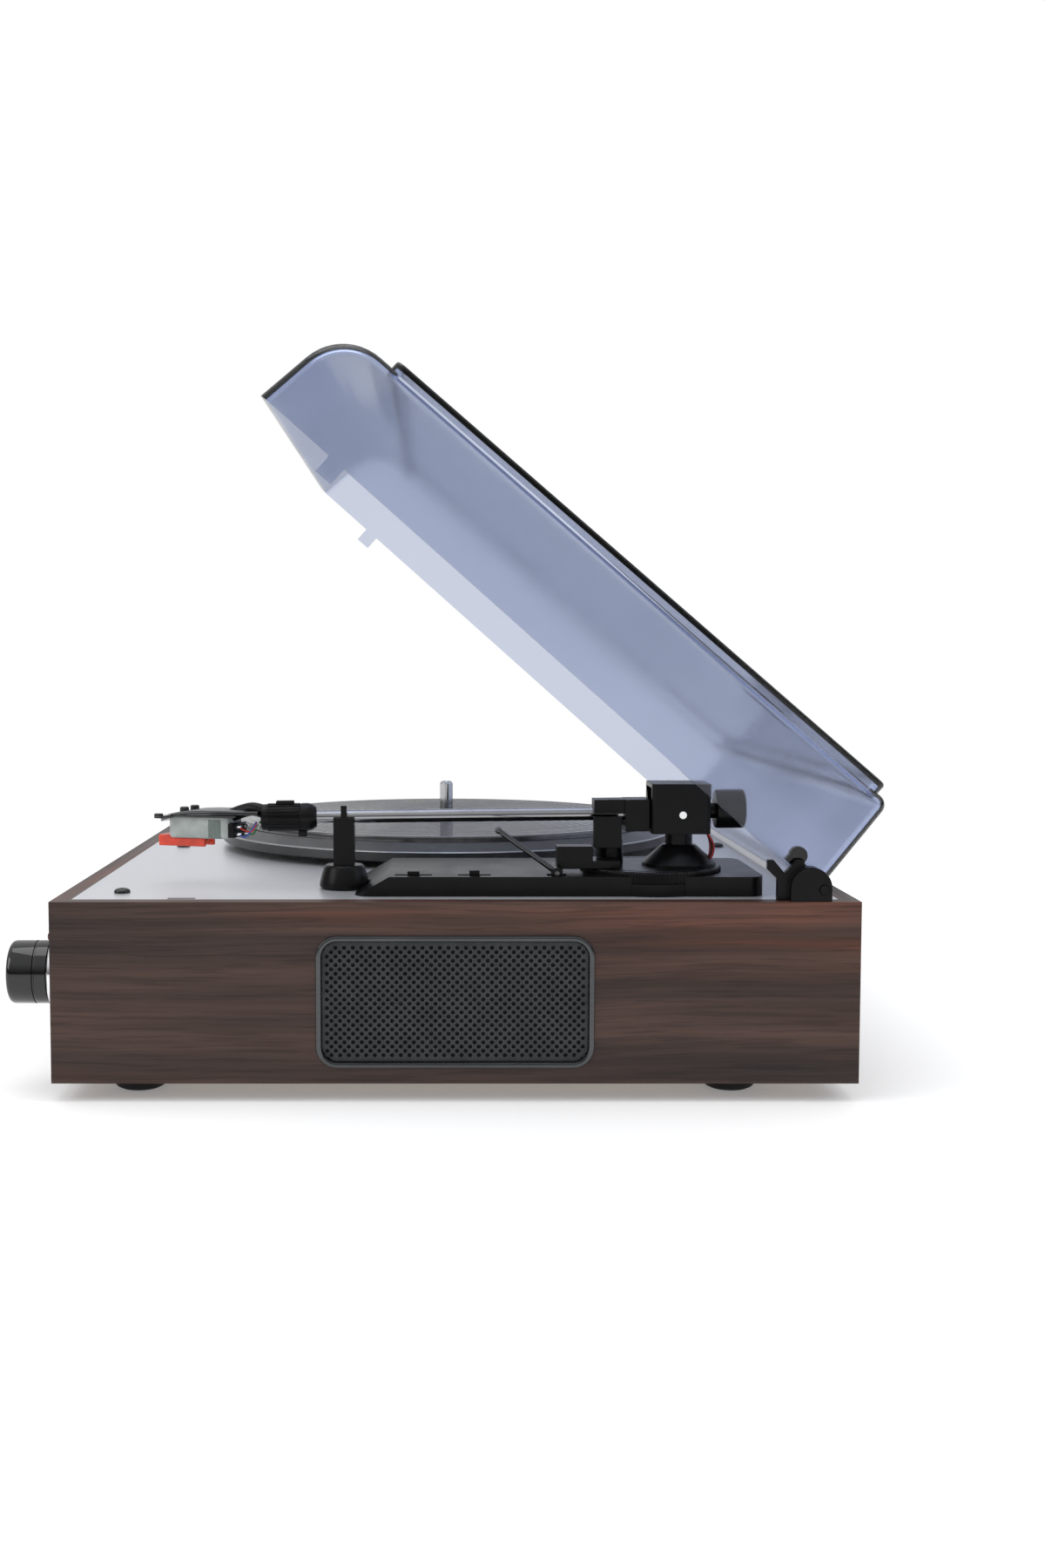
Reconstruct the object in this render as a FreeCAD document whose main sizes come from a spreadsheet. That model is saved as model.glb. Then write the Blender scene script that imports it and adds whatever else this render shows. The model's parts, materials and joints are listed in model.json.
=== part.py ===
"""Belt-driven record player in a wooden plinth, with built-in side speakers and a hinged dust cover.

Millimetres.  +X is the player's right, +Y its back, +Z up.  The parts are drawn about the middle of the
plinth, and written out 5 mm further back, so that the origin lies on the surface that the feet stand on,
under the middle of the whole player with its cover open.  The arm is on its rest.
"""
import FreeCAD, Part
import math
import os
import Sketcher
from FreeCAD import Placement, Rotation, Vector

doc = FreeCAD.newDocument("record_player")
sheet = doc.addObject("Spreadsheet::Sheet", "dims")

DIMENSIONS = [
    # plinth
    ("plinth_wide", 420), ("plinth_deep", 340), ("plinth_base", 8), ("plinth_top", 85),
    ("wall", 12), ("rim", 8), ("deck_thick", 5), ("floor_thick", 5),
    ("foot_radius", 12), ("foot_inset_x", 28), ("foot_inset_front", 33), ("foot_inset_back", 50),
    ("screw_inset_x", 28.6), ("screw_inset_y", 25.7), ("screw_radius", 1.6), ("head_radius", 3.5),
    ("cleat", 24), ("cleat_tall", 18),
    # speakers
    ("bezel_long", 117), ("bezel_tall", 56), ("bezel_drop", 42.3), ("bezel_lip", 2.6),
    ("bezel_corner", 9), ("bezel_proud", 1), ("bezel_recess", 3), ("grille_back", 1.2),
    ("grille_thick", 1), ("driver_radius", 28), ("cone_radius", 24.5), ("driver_deep", 22),
    ("magnet_radius", 16), ("magnet_thick", 11),
    # front controls
    ("knob_x", 182), ("knob_drop", 34.5), ("knob_radius", 13.75), ("knob_ring", 15.2),
    ("ring_proud", 4.5), ("knob_proud", 22.5), ("knob_shaft", 3), ("lamp_x", 194.5),
    ("lamp_drop", 17), ("lamp_radius", 2.4), ("running_gap", 0.05), ("set_back", 5),
    # platter and drive
    ("platter_x", -18), ("platter_y", -2), ("platter_radius", 122), ("platter_lift", 3.8),
    ("platter_band", 4.5), ("platter_top_radius", 114), ("platter_top", 12.5), ("mat_thick", 3),
    ("mat_radius", 112.5), ("spindle_radius", 3.6), ("spindle_neck", 3.3), ("spindle_above_mat", 19),
    ("journal_radius", 3), ("drive_rim", 62), ("drive_rim_wall", 3.5),
    ("motor_dx", -72), ("motor_dy", -50), ("motor_radius", 19), ("pulley_radius", 5),
    ("belt_thick", 0.8), ("belt_gap", 0.3),
    # arm panel, arm base and arm
    ("panel_left", 124), ("panel_right", 194), ("panel_front", -43), ("panel_step", -28),
    ("panel_back", 132.6), ("panel_tall", 8.5), ("panel_skin", 2.5),
    ("drum_x", 165), ("drum_y", 87), ("drum_radius", 31), ("drum_tall", 10.5),
    ("arm_x", 166), ("arm_y", 99.5), ("arm_height", 33.5), ("arm_droop", 0.65),
    ("arm_shaft", 4), ("tube_radius", 2.9), ("tube_front", -160), ("shell_turn", 22),
    ("shell_start", -184), ("shell_long", 49), ("rest_y", -48.5),
    ("cue_reach", 30.7), ("cue_top", 29.6),
    ("lever_x", 187), ("lever_y", 44), ("lever_height", 9.5), ("lever_long", 31), ("lever_rise", 36),
    ("speed_y", -17.7), ("stop_y", 8.6), ("switch_x", 187),
    # dust cover, measured from its hinge axis with the cover shut
    ("lid_wide", 401), ("lid_long", 314.1), ("lid_wall", 2.5), ("lid_behind", 1.4),
    ("lid_below", 2.65), ("pivot_y", 154.5), ("pivot_height", 5), ("lid_open", 41.6),
    ("lid_front_radius", 24), ("lid_edge_radius", 5), ("pin_radius", 2),
]
for row, (alias, number) in enumerate(DIMENSIONS, start=1):
    sheet.set(f"A{row}", str(number))
    sheet.setAlias(f"A{row}", alias)
doc.recompute()

TURN = {"X": Rotation(Vector(0, 1, 0), 90), "Y": Rotation(Vector(1, 0, 0), -90), "Z": Rotation()}
NODES = []


# ---------------------------------------------------------------- making and binding

def size(name):
    """One driving dimension."""
    return float(sheet.get(name))


def bound(text):
    """An expression in which every dimension is named by its alias alone, ready for the sheet."""
    text = str(text)
    words = sorted({alias for alias, _ in DIMENSIONS}, key=len, reverse=True)
    spaced = text
    for mark in "()+-*/":
        spaced = spaced.replace(mark, f" {mark} ")
    return " ".join(f"dims.{word}" if word in words else word for word in spaced.split())


def block(name, x, y, z):
    """A box given by its low and high expression along each axis."""
    solid = doc.addObject("Part::Box", name)
    for edge, place, (low, high) in zip(("Length", "Width", "Height"), "xyz", (x, y, z)):
        solid.setExpression(edge, bound(f"({high}) - ({low})"))
        solid.setExpression(f"Placement.Base.{place}", bound(low))
    return solid


def round_piece(kind, name, axis, centre, low, high, radii):
    """A cylinder or cone along an axis; centre holds the other two coordinates in X, Y, Z order."""
    solid = doc.addObject(kind, name)
    solid.Placement = Placement(Vector(), TURN[axis])
    others = [letter for letter in "XYZ" if letter != axis]
    for letter, text in zip(others + [axis], list(centre) + [low]):
        solid.setExpression(f"Placement.Base.{letter.lower()}", bound(text))
    solid.setExpression("Height", bound(f"({high}) - ({low})"))
    for prop, text in radii.items():
        solid.setExpression(prop, bound(text))
    return solid


def rod(name, axis, centre, radius, low, high):
    return round_piece("Part::Cylinder", name, axis, centre, low, high, {"Radius": radius})


def taper(name, axis, centre, low_radius, high_radius, low, high):
    radii = {"Radius1": low_radius, "Radius2": high_radius}
    return round_piece("Part::Cone", name, axis, centre, low, high, radii)


def join(name, *solids):
    whole = doc.addObject("Part::MultiFuse", name)
    whole.Shapes = list(solids)
    return whole


def cut(name, base, *tools):
    """The base with every tool taken out of it."""
    for index, tool in enumerate(tools):
        last = index == len(tools) - 1
        step = doc.addObject("Part::Cut", name if last else f"{name}_less_{index}")
        step.Base = base
        step.Tool = tool
        base = step
    return base


def overlap(name, first, second):
    whole = doc.addObject("Part::Common", name)
    whole.Base = first
    whole.Tool = second
    return whole


def tube(name, axis, centre, radius, bore, low, high):
    return cut(name, rod(f"{name}_outside", axis, centre, radius, low, high),
               rod(f"{name}_bore", axis, centre, bore, f"{low} - 1", f"{high} + 1"))


def softened(name, solid, radius, chosen):
    """The solid with the chosen edges rounded; chosen tests an edge."""
    doc.recompute()
    rounded = doc.addObject("Part::Fillet", name)
    rounded.Base = solid
    edges = enumerate(solid.Shape.Edges, start=1)
    rounded.Edges = [(index, radius, radius) for index, edge in edges if chosen(edge)]
    return rounded


def along(axis):
    """A test for straight edges that run along an axis."""
    direction = {"X": Vector(1, 0, 0), "Y": Vector(0, 1, 0), "Z": Vector(0, 0, 1)}[axis]

    def test(edge):
        if not isinstance(edge.Curve, Part.Line):
            return False
        return edge.Curve.Direction.cross(direction).Length < 1e-6
    return test


def rounded_block(name, axis, radius, x, y, z):
    """A box whose four edges along one axis are rounded."""
    return softened(name, block(f"{name}_block", x, y, z), radius, along(axis))


def value(text):
    """The number that an expression of dimensions comes to."""
    probe = doc.addObject("Part::Vertex", "probe")
    probe.setExpression("X", bound(text))
    doc.recompute()
    number = probe.X.Value
    doc.removeObject(probe.Name)
    return number


def sketched(name, plane_role, points):
    """A body with a closed outline of straight edges, each corner held by two bound distances."""
    body = doc.addObject("PartDesign::Body", name)
    plane = next(f for f in body.Origin.OriginFeatures if f.Role == plane_role)
    sketch = body.newObject("Sketcher::SketchObject", f"{name}_outline")
    sketch.AttachmentSupport = [(plane, "")]
    sketch.MapMode = "FlatFace"
    corners = [(value(across), value(up)) for across, up in points]
    count = len(corners)
    for index, corner in enumerate(corners):
        following = corners[(index + 1) % count]
        sketch.addGeometry(Part.LineSegment(Vector(*corner, 0), Vector(*following, 0)))
    for index in range(count):
        sketch.addConstraint(Sketcher.Constraint("Coincident", index, 2, (index + 1) % count, 1))
    for index, (corner, texts) in enumerate(zip(corners, points)):
        for kind, number, text in zip(("DistanceX", "DistanceY"), corner, texts):
            held = sketch.addConstraint(Sketcher.Constraint(kind, -1, 1, index, 1, number))
            sketch.setExpression(f"Constraints[{held}]", bound(text))
    return body, sketch


def turned(name, x, y, points):
    """A body of revolution about a vertical axis, from (radius, height) corners."""
    body, sketch = sketched(name, "XZ_Plane", points)
    spin = body.newObject("PartDesign::Revolution", f"{name}_turn")
    spin.Profile = sketch
    spin.ReferenceAxis = (sketch, ["V_Axis"])
    spin.Angle = 360
    body.setExpression("Placement.Base.x", bound(x))
    body.setExpression("Placement.Base.y", bound(y))
    return body


def padded(name, plane_role, points, low, high):
    """A straight pad of an outline in the XY or YZ plane, from low to high along the third axis."""
    body, sketch = sketched(name, plane_role, points)
    pad = body.newObject("PartDesign::Pad", f"{name}_pad")
    pad.Profile = sketch
    pad.setExpression("Length", bound(f"({high}) - ({low})"))
    letter = {"XY_Plane": "z", "YZ_Plane": "x"}[plane_role]
    body.setExpression(f"Placement.Base.{letter}", bound(low))
    return body


def frame_copy(name, solid, placement):
    """The finished solid carried into its own frame."""
    holder = doc.addObject("Part::Compound", name)
    holder.Links = [solid]
    holder.Placement = placement
    return holder


def node(label, *solids, placement=None):
    """Name a finished sub-part; several solids make one node of separate pieces."""
    whole = solids[0]
    if len(solids) > 1 or placement is not None:
        whole = doc.addObject("Part::Compound", f"{label}_node")
        whole.Links = list(solids)
    if placement is not None:
        whole.Placement = placement
    for item in doc.Objects:
        if item.Label == label:
            item.Label = f"{label}_step"
    whole.Label = label
    NODES.append(whole)
    return whole


SIDES = (("left", -1), ("right", 1))


def mirrored(sign, inner, outer):
    """Low and high place of a slab that lies between two distances from the middle plane."""
    return (inner, outer) if sign > 0 else (f"-({outer})", f"-({inner})")


# ---------------------------------------------------------------- plinth

def make_feet_and_screws():
    """Four domed rubber feet, each held up into the floor panel by a screw in its hollow."""
    feet = []
    screws = []
    for side, sign in SIDES:
        for end, y in (("front", "-plinth_deep / 2 + foot_inset_front"),
                       ("back", "plinth_deep / 2 - foot_inset_back")):
            x = f"{sign} * (plinth_wide / 2 - foot_inset_x)"
            tag = f"{side}_{end}"
            foot = turned(f"foot_{tag}", x, y, [
                ("2", "3.5"), ("4.5", "3.5"), ("4.5", "0"), ("foot_radius - 3.5", "0"),
                ("foot_radius - 1.5", "1"),
                ("foot_radius - 0.3", "3"), ("foot_radius", "5"), ("foot_radius", "plinth_base"),
                ("2", "plinth_base")])
            feet.append(foot)
            head = rod(f"foot_head_{tag}", "Z", (x, y), "4", "2", "3.5")
            shank = rod(f"foot_shank_{tag}", "Z", (x, y), "1.9", "3", "plinth_base + 8")
            screws.append(join(f"foot_screw_{tag}", head, shank))
    for side, sign in SIDES:
        for end, along_y in (("front", -1), ("back", 1)):
            x = f"{sign} * (plinth_wide / 2 - screw_inset_x + 4)"
            y = f"{along_y} * (plinth_deep / 2 - screw_inset_y + 4)"
            tag = f"{side}_{end}"
            head = taper(f"floor_head_{tag}", "Z", (x, y), "3.3", "1.6", "plinth_base", "plinth_base + 2")
            shank = rod(f"floor_shank_{tag}", "Z", (x, y), "screw_radius", "plinth_base + 1",
                        "plinth_base + 15")
            screws.append(join(f"floor_screw_{tag}", head, shank))
    node("rubber_feet", *feet)
    return node("base_screws", *screws)


def deck_screw_places():
    """The six places of the deck's screws: the four corners, and the middle of the front and the back."""
    spots = [(f"{sign} * (plinth_wide / 2 - screw_inset_x)", f"{end} * (plinth_deep / 2 - screw_inset_y)")
             for sign in (-1, 1) for end in (-1, 1)]
    return spots + [("0", f"{end} * (plinth_deep / 2 - screw_inset_y)") for end in (-1, 1)]


def make_deck_screws():
    """Six dome-headed screws that hold the deck to the cleats."""
    screws = []
    for index, (x, y) in enumerate(deck_screw_places()):
        head = rod(f"deck_head_{index}", "Z", (x, y), "head_radius", "plinth_top", "plinth_top + 1")
        dome = taper(f"deck_dome_{index}", "Z", (x, y), "head_radius", "head_radius - 1.4",
                     "plinth_top + 1", "plinth_top + 2.1")
        shank = rod(f"deck_shank_{index}", "Z", (x, y), "screw_radius", "plinth_top - 16", "plinth_top")
        screws.append(join(f"deck_screw_{index}", head, dome, shank))
    return node("deck_screws", *screws)


def make_walls(lid_slots, socket_screws):
    """Four veneered boards, mitred at the corners, rebated along the top for the deck."""
    half_x = "plinth_wide / 2"
    half_y = "plinth_deep / 2"
    rebate = block("deck_rebate", (f"-({half_x} - rim)", f"{half_x} - rim"),
                   (f"-({half_y} - rim)", f"{half_y} - rim"),
                   ("plinth_top - deck_thick", "plinth_top + 1"))
    knob_hole = rod("knob_hole", "Y", ("knob_x", "plinth_top - knob_drop"), "4.5",
                    f"-{half_y} - 1", f"-{half_y} + wall + 1")
    lamp_hole = rod("lamp_hole", "Y", ("lamp_x", "plinth_top - lamp_drop"), "lamp_radius",
                    f"-{half_y} - 1", f"-{half_y} + wall + 1")
    socket_hole = block("socket_hole", ("22", "98"), (f"{half_y} - wall - 1", f"{half_y} + 1"),
                        ("34", "56"))
    for name, sign, openings in (("front_wall", -1, (knob_hole, lamp_hole)),
                                 ("back_wall", 1, (socket_hole, *socket_screws))):
        board = padded(f"{name}_board", "XY_Plane", [
            (f"-{half_x}", f"{sign} * {half_y}"), (half_x, f"{sign} * {half_y}"),
            (f"{half_x} - wall", f"{sign} * ({half_y} - wall)"),
            (f"-{half_x} + wall", f"{sign} * ({half_y} - wall)")], "plinth_base", "plinth_top")
        node(name, cut(name, board, rebate, *openings))
    for side, sign in SIDES:
        board = padded(f"{side}_wall_board", "XY_Plane", [
            (f"{sign} * {half_x}", f"-{half_y}"), (f"{sign} * {half_x}", half_y),
            (f"{sign} * ({half_x} - wall)", f"{half_y} - wall"),
            (f"{sign} * ({half_x} - wall)", f"-{half_y} + wall")], "plinth_base", "plinth_top")
        recess = rounded_block(
            f"{side}_bezel_recess", "X", size("bezel_corner"),
            mirrored(sign, f"{half_x} - bezel_recess", f"{half_x} + 2"),
            ("-bezel_long / 2", "bezel_long / 2"),
            ("plinth_top - bezel_drop - bezel_tall / 2", "plinth_top - bezel_drop + bezel_tall / 2"))
        sound = rod(f"{side}_sound_hole", "X", ("0", "plinth_top - bezel_drop"), "cone_radius",
                    *mirrored(sign, f"{half_x} - wall - 1", f"{half_x} + 1"))
        node(f"{side}_wall", cut(f"{side}_wall", board, rebate, recess, sound, lid_slots))


def make_cleats(screws, base_screws):
    """Glued wood blocks in the corners and at the middle of the front and back walls."""
    inner_x = "(plinth_wide / 2 - wall)"
    inner_y = "(plinth_deep / 2 - wall)"
    top = ("plinth_top - deck_thick - cleat_tall", "plinth_top - deck_thick")
    low = ("plinth_base + floor_thick", "plinth_base + floor_thick + cleat_tall")
    pieces = []
    for y_sign, y_word in ((-1, "front"), (1, "back")):
        y = mirrored(y_sign, f"{inner_y} - cleat", inner_y)
        for x_sign, x_word in ((-1, "left"), (1, "right")):
            x = mirrored(x_sign, f"{inner_x} - cleat", inner_x)
            pieces.append(block(f"cleat_top_{x_word}_{y_word}", x, y, top))
            pieces.append(block(f"cleat_low_{x_word}_{y_word}", x, y, low))
        pieces.append(block(f"cleat_middle_{y_word}", ("-cleat", "cleat"), y, top))
    bored = [cut(f"{piece.Name}_bored", piece, screws, base_screws) for piece in pieces]
    node("corner_cleats", *bored)


def make_floor_panel(base_screws):
    """The bare bottom board, with holes for the foot screws and its own four screws."""
    panel = block("floor_board", ("-(plinth_wide / 2 - wall)", "plinth_wide / 2 - wall"),
                  ("-(plinth_deep / 2 - wall)", "plinth_deep / 2 - wall"),
                  ("plinth_base", "plinth_base + floor_thick"))
    node("floor_panel", cut("floor_panel", panel, base_screws))


def make_lid_slots():
    """Room in the deck and the side walls for the two locating tabs of the shut cover."""
    slots = []
    low = "pivot_y + lid_behind - lid_long + 38 - 1.6"
    for side, sign in SIDES:
        x = mirrored(sign, "lid_wide / 2 - lid_wall - 0.95", "lid_wide / 2 + 0.95")
        slots.append(block(f"tab_slot_{side}", x, (low, f"{low} + 11.7"),
                           ("plinth_top - 9", "plinth_top + 1")))
    return join("tab_slots", *slots)


def make_deck(screws, lid_slots, motor_screws):
    """The foil-faced deck board with its holes for the bearing, the drive, the arm and the cover."""
    board = block("deck_blank", ("-(plinth_wide / 2 - rim)", "plinth_wide / 2 - rim"),
                  ("-(plinth_deep / 2 - rim)", "plinth_deep / 2 - rim"),
                  ("plinth_top - deck_thick", "plinth_top"))
    holes = [
        rod("bearing_hole", "Z", ("platter_x", "platter_y"), "8", "plinth_top - 9", "plinth_top + 1"),
        rod("pulley_hole", "Z", ("platter_x + motor_dx", "platter_y + motor_dy"), "9",
            "plinth_top - 9", "plinth_top + 1"),
        rod("arm_hole", "Z", ("arm_x", "arm_y"), "7", "plinth_top - 9", "plinth_top + 1"),
        rod("cue_hole", "Z", ("arm_x", "arm_y - cue_reach"), "4", "plinth_top - 9", "plinth_top + 1"),
    ]
    node("deck_board", cut("deck_board", board, screws, lid_slots, *holes, *motor_screws))


# ---------------------------------------------------------------- speakers

def make_speakers():
    """A framed metal grille on each side, and behind it a small round driver."""
    middle = "plinth_top - bezel_drop"
    parts = {"bezel": [], "grille": [], "frame": [], "magnet": [], "cone": []}
    for side, sign in SIDES:
        outline_y = ("-bezel_long / 2", "bezel_long / 2")
        outline_z = (f"{middle} - bezel_tall / 2", f"{middle} + bezel_tall / 2")
        face = "plinth_wide / 2"
        outer = rounded_block(f"bezel_outer_{side}", "X", size("bezel_corner"),
                              mirrored(sign, f"{face} - bezel_recess", f"{face} + bezel_proud"),
                              outline_y, outline_z)
        inner_y = ("-bezel_long / 2 + bezel_lip", "bezel_long / 2 - bezel_lip")
        inner_z = (f"{middle} - bezel_tall / 2 + bezel_lip", f"{middle} + bezel_tall / 2 - bezel_lip")
        hollow = rounded_block(f"bezel_inner_{side}", "X", size("bezel_corner") - size("bezel_lip"),
                               mirrored(sign, f"{face} - bezel_recess - 1", f"{face} + bezel_proud + 1"),
                               inner_y, inner_z)
        parts["bezel"].append(cut(f"bezel_{side}", outer, hollow))
        parts["grille"].append(rounded_block(
            f"grille_{side}", "X", size("bezel_corner") - size("bezel_lip"),
            mirrored(sign, f"{face} - grille_back - grille_thick", f"{face} - grille_back"),
            inner_y, inner_z))
        back = Rotation(Vector(0, 1, 0), -90 * sign)
        seat = Vector(sign * value("plinth_wide / 2 - wall"), 0, value(middle))
        frame = turned(f"driver_frame_{side}", "0", "0", [
            ("cone_radius", "0"), ("driver_radius", "0"), ("driver_radius", "2"),
            ("cone_radius + 0.5", "2"), ("magnet_radius + 1", "driver_deep"), ("4", "driver_deep"),
            ("4", "driver_deep - 1.5"), ("magnet_radius", "driver_deep - 1.5"),
            ("cone_radius - 1", "2")])
        magnet = turned(f"magnet_{side}", "0", "0", [
            ("0", "driver_deep"), ("magnet_radius", "driver_deep"),
            ("magnet_radius", "driver_deep + magnet_thick"), ("0", "driver_deep + magnet_thick")])
        cone = turned(f"cone_{side}", "0", "0", [
            ("0", "8"), ("7", "10.5"), ("cone_radius - 3", "0.8"), ("cone_radius - 2.2", "0"),
            ("cone_radius - 1.2", "0"), ("cone_radius - 1.4", "1"), ("8", "12"), ("0", "12")])
        for kind, body in (("frame", frame), ("magnet", magnet), ("cone", cone)):
            holder = frame_copy(f"{kind}_seated_{side}", body, Placement(seat, back))
            parts[kind].append(holder)
    node("speaker_bezels", *parts["bezel"])
    node("speaker_grilles", *parts["grille"])
    node("speaker_frames", *parts["frame"])
    node("speaker_magnets", *parts["magnet"])
    node("speaker_cones", *parts["cone"])


# ---------------------------------------------------------------- controls, electronics, sockets

def make_front_controls():
    """Volume control with its knob and trim ring, and the power lamp."""
    at = ("knob_x", "plinth_top - knob_drop")
    face = "-plinth_deep / 2"
    bore = rod("control_bore", "Y", at, "knob_shaft + running_gap", f"{face} - 20", f"{face} + 40")
    bush = rod("control_bush", "Y", at, "4.5", f"{face} - 2", f"{face} + wall")
    can = rod("control_can", "Y", at, "8.5", f"{face} + wall", f"{face} + wall + 9")
    node("volume_control", cut("volume_control", join("control_whole", bush, can), bore))
    node("knob_ring", tube("knob_ring", "Y", at, "knob_ring", "4.6", f"{face} - ring_proud", face))
    skirt = rod("knob_skirt", "Y", at, "knob_radius", f"{face} - knob_proud + 1.5",
                f"{face} - ring_proud - 0.4")
    nose = taper("knob_nose", "Y", at, "knob_radius - 1.5", "knob_radius", f"{face} - knob_proud",
                 f"{face} - knob_proud + 1.5")
    stem = rod("knob_stem", "Y", at, "knob_shaft", f"{face} - ring_proud - 1", f"{face} + wall + 7")
    node("volume_knob", join("volume_knob", skirt, nose, stem))
    lamp_at = ("lamp_x", "plinth_top - lamp_drop")
    lens = rod("lamp_body", "Y", lamp_at, "lamp_radius", f"{face} - 2.5", f"{face} + wall")
    tip = taper("lamp_tip", "Y", lamp_at, "lamp_radius - 1.2", "lamp_radius", f"{face} - 3.8",
                f"{face} - 2.5")
    node("power_lamp", join("power_lamp", lens, tip))


def make_amplifier():
    """The circuit board on four spacers, with its larger components."""
    floor = "plinth_base + floor_thick"
    x = (40, 165)
    y = (-128, -52)
    pieces = [block("board", (x[0], x[1]), (y[0], y[1]), (f"{floor} + 5", f"{floor} + 6.6"))]
    for index, (px, py) in enumerate((a, b) for a in (x[0] + 5, x[1] - 5) for b in (y[0] + 5, y[1] - 5)):
        pieces.append(rod(f"spacer_{index}", "Z", (px, py), "3", floor, f"{floor} + 5"))
    top = f"{floor} + 6.6"
    capacitors = ((60, -70, 8, 22), (82, -70, 8, 22), (60, -92, 5, 12), (76, -96, 5, 12))
    for index, (px, py, radius, tall) in enumerate(capacitors):
        pieces.append(rod(f"capacitor_{index}", "Z", (px, py), radius, top, f"{top} + {tall}"))
    pieces.append(block("heat_sink", (105, 145), (-72, -62), (top, f"{top} + 24")))
    pieces.append(block("amplifier_chip", (112, 138), (-77, -73), (top, f"{top} + 12")))
    pieces.append(block("cable_socket", (140, 155), (-112, -104), (top, f"{top} + 7")))
    node("amplifier_board", *pieces)


def make_rear_sockets():
    """The plate on the back wall with two line-out sockets and the power inlet."""
    back = "plinth_deep / 2"
    height = 45
    plate = rounded_block("socket_plate", "Y", 4, (12, 108), (back, f"{back} + 2"), (28, 62))
    outlets = []
    holes = []
    for index, x in enumerate((40, 60)):
        barrel = rod(f"line_barrel_{index}", "Y", (x, height), "4.15", f"{back} - 10", f"{back} + 11")
        collar = rod(f"line_collar_{index}", "Y", (x, height), "6", f"{back} + 2", f"{back} + 3")
        bore = rod(f"line_bore_{index}", "Y", (x, height), "1.6", f"{back} + 1", f"{back} + 12")
        holes.append(rod(f"line_hole_{index}", "Y", (x, height), "4.15", f"{back} - 1", f"{back} + 2"))
        outlets.append(cut(f"line_out_{index}", join(f"line_whole_{index}", barrel, collar), bore))
    inlet_at = (86, height)
    shell = rod("inlet_shell", "Y", inlet_at, "5.5", f"{back} - 12", f"{back} + 2")
    bore = rod("inlet_bore", "Y", inlet_at, "2.8", f"{back} - 8", f"{back} + 3")
    pin = rod("inlet_pin", "Y", inlet_at, "1", f"{back} - 9", f"{back} + 0.5")
    holes.append(rod("inlet_hole", "Y", inlet_at, "5.5", f"{back} - 1", f"{back} + 3"))
    screws = []
    for index, x in enumerate((17, 103)):
        head = rod(f"plate_head_{index}", "Y", (x, height), "3", f"{back} + 2", f"{back} + 3.4")
        shank = rod(f"plate_shank_{index}", "Y", (x, height), "1.4", f"{back} - 9", f"{back} + 2")
        screws.append(join(f"plate_screw_{index}", head, shank))
    node("socket_plate", cut("socket_plate_bored", plate, *holes, *screws))
    node("line_out_sockets", *outlets)
    node("power_inlet", join("power_inlet", cut("inlet_hollow", shell, bore), pin))
    return screws


# ---------------------------------------------------------------- platter and drive

def make_platter():
    """The cast platter with its inner drive rim, the rubber mat and the spindle."""
    low = "plinth_top + platter_lift"
    top = "plinth_top + platter_top"
    platter = turned("platter", "platter_x", "platter_y", [
        ("spindle_neck", f"{top} - 3"), ("9.5", f"{top} - 3"), ("9.5", f"{top} - 5.5"),
        ("12.5", f"{top} - 5.5"), ("12.5", f"{top} - 3"),
        ("drive_rim - drive_rim_wall", f"{top} - 3"), ("drive_rim - drive_rim_wall", f"{low} + 0.7"),
        ("drive_rim", f"{low} + 0.7"), ("drive_rim", f"{top} - 3"),
        ("platter_top_radius - 3.5", f"{top} - 3"), ("platter_radius - 3.2", f"{low} + platter_band - 1.2"),
        ("platter_radius - 3.2", low), ("platter_radius - 0.6", low), ("platter_radius", f"{low} + 0.6"),
        ("platter_radius", f"{low} + platter_band"), ("platter_top_radius", top), ("spindle_neck", top)])
    node("platter", platter)
    mat = turned("platter_mat", "platter_x", "platter_y", [
        ("spindle_radius + 0.1", top), ("mat_radius", top), ("mat_radius", f"{top} + mat_thick - 0.6"),
        ("mat_radius - 0.6", f"{top} + mat_thick"), ("spindle_radius + 0.1", f"{top} + mat_thick")])
    node("platter_mat", mat)
    tip = "plinth_top + platter_top + mat_thick + spindle_above_mat"
    spindle = turned("spindle", "platter_x", "platter_y", [
        ("0", "plinth_top - 29"), ("journal_radius", "plinth_top - 29"), ("journal_radius", f"{top} - 8"),
        ("9.5", f"{top} - 8"), ("9.5", f"{top} - 5.5"), ("9.5", f"{top} - 3"), ("spindle_neck", f"{top} - 3"),
        ("spindle_neck", f"{top} + mat_thick"), ("spindle_radius", f"{top} + mat_thick"),
        ("spindle_radius", f"{tip} - 1.6"), ("spindle_radius - 0.5", f"{tip} - 0.6"),
        ("spindle_radius - 1.4", tip), ("0", tip)])
    node("spindle", spindle)
    bearing = turned("spindle_bearing", "platter_x", "platter_y", [
        ("0", "plinth_top - 33"), ("6", "plinth_top - 33"), ("8", "plinth_top - 31"),
        ("8", "plinth_top - deck_thick - 3"), ("18", "plinth_top - deck_thick - 3"),
        ("18", "plinth_top - deck_thick"), ("8", "plinth_top - deck_thick"), ("8", "plinth_top + 1.5"),
        ("7", "plinth_top + 2"), ("journal_radius + running_gap", "plinth_top + 2"),
        ("journal_radius + running_gap", "plinth_top - 29.05"), ("0", "plinth_top - 29.05")])
    node("spindle_bearing", bearing)


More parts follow.
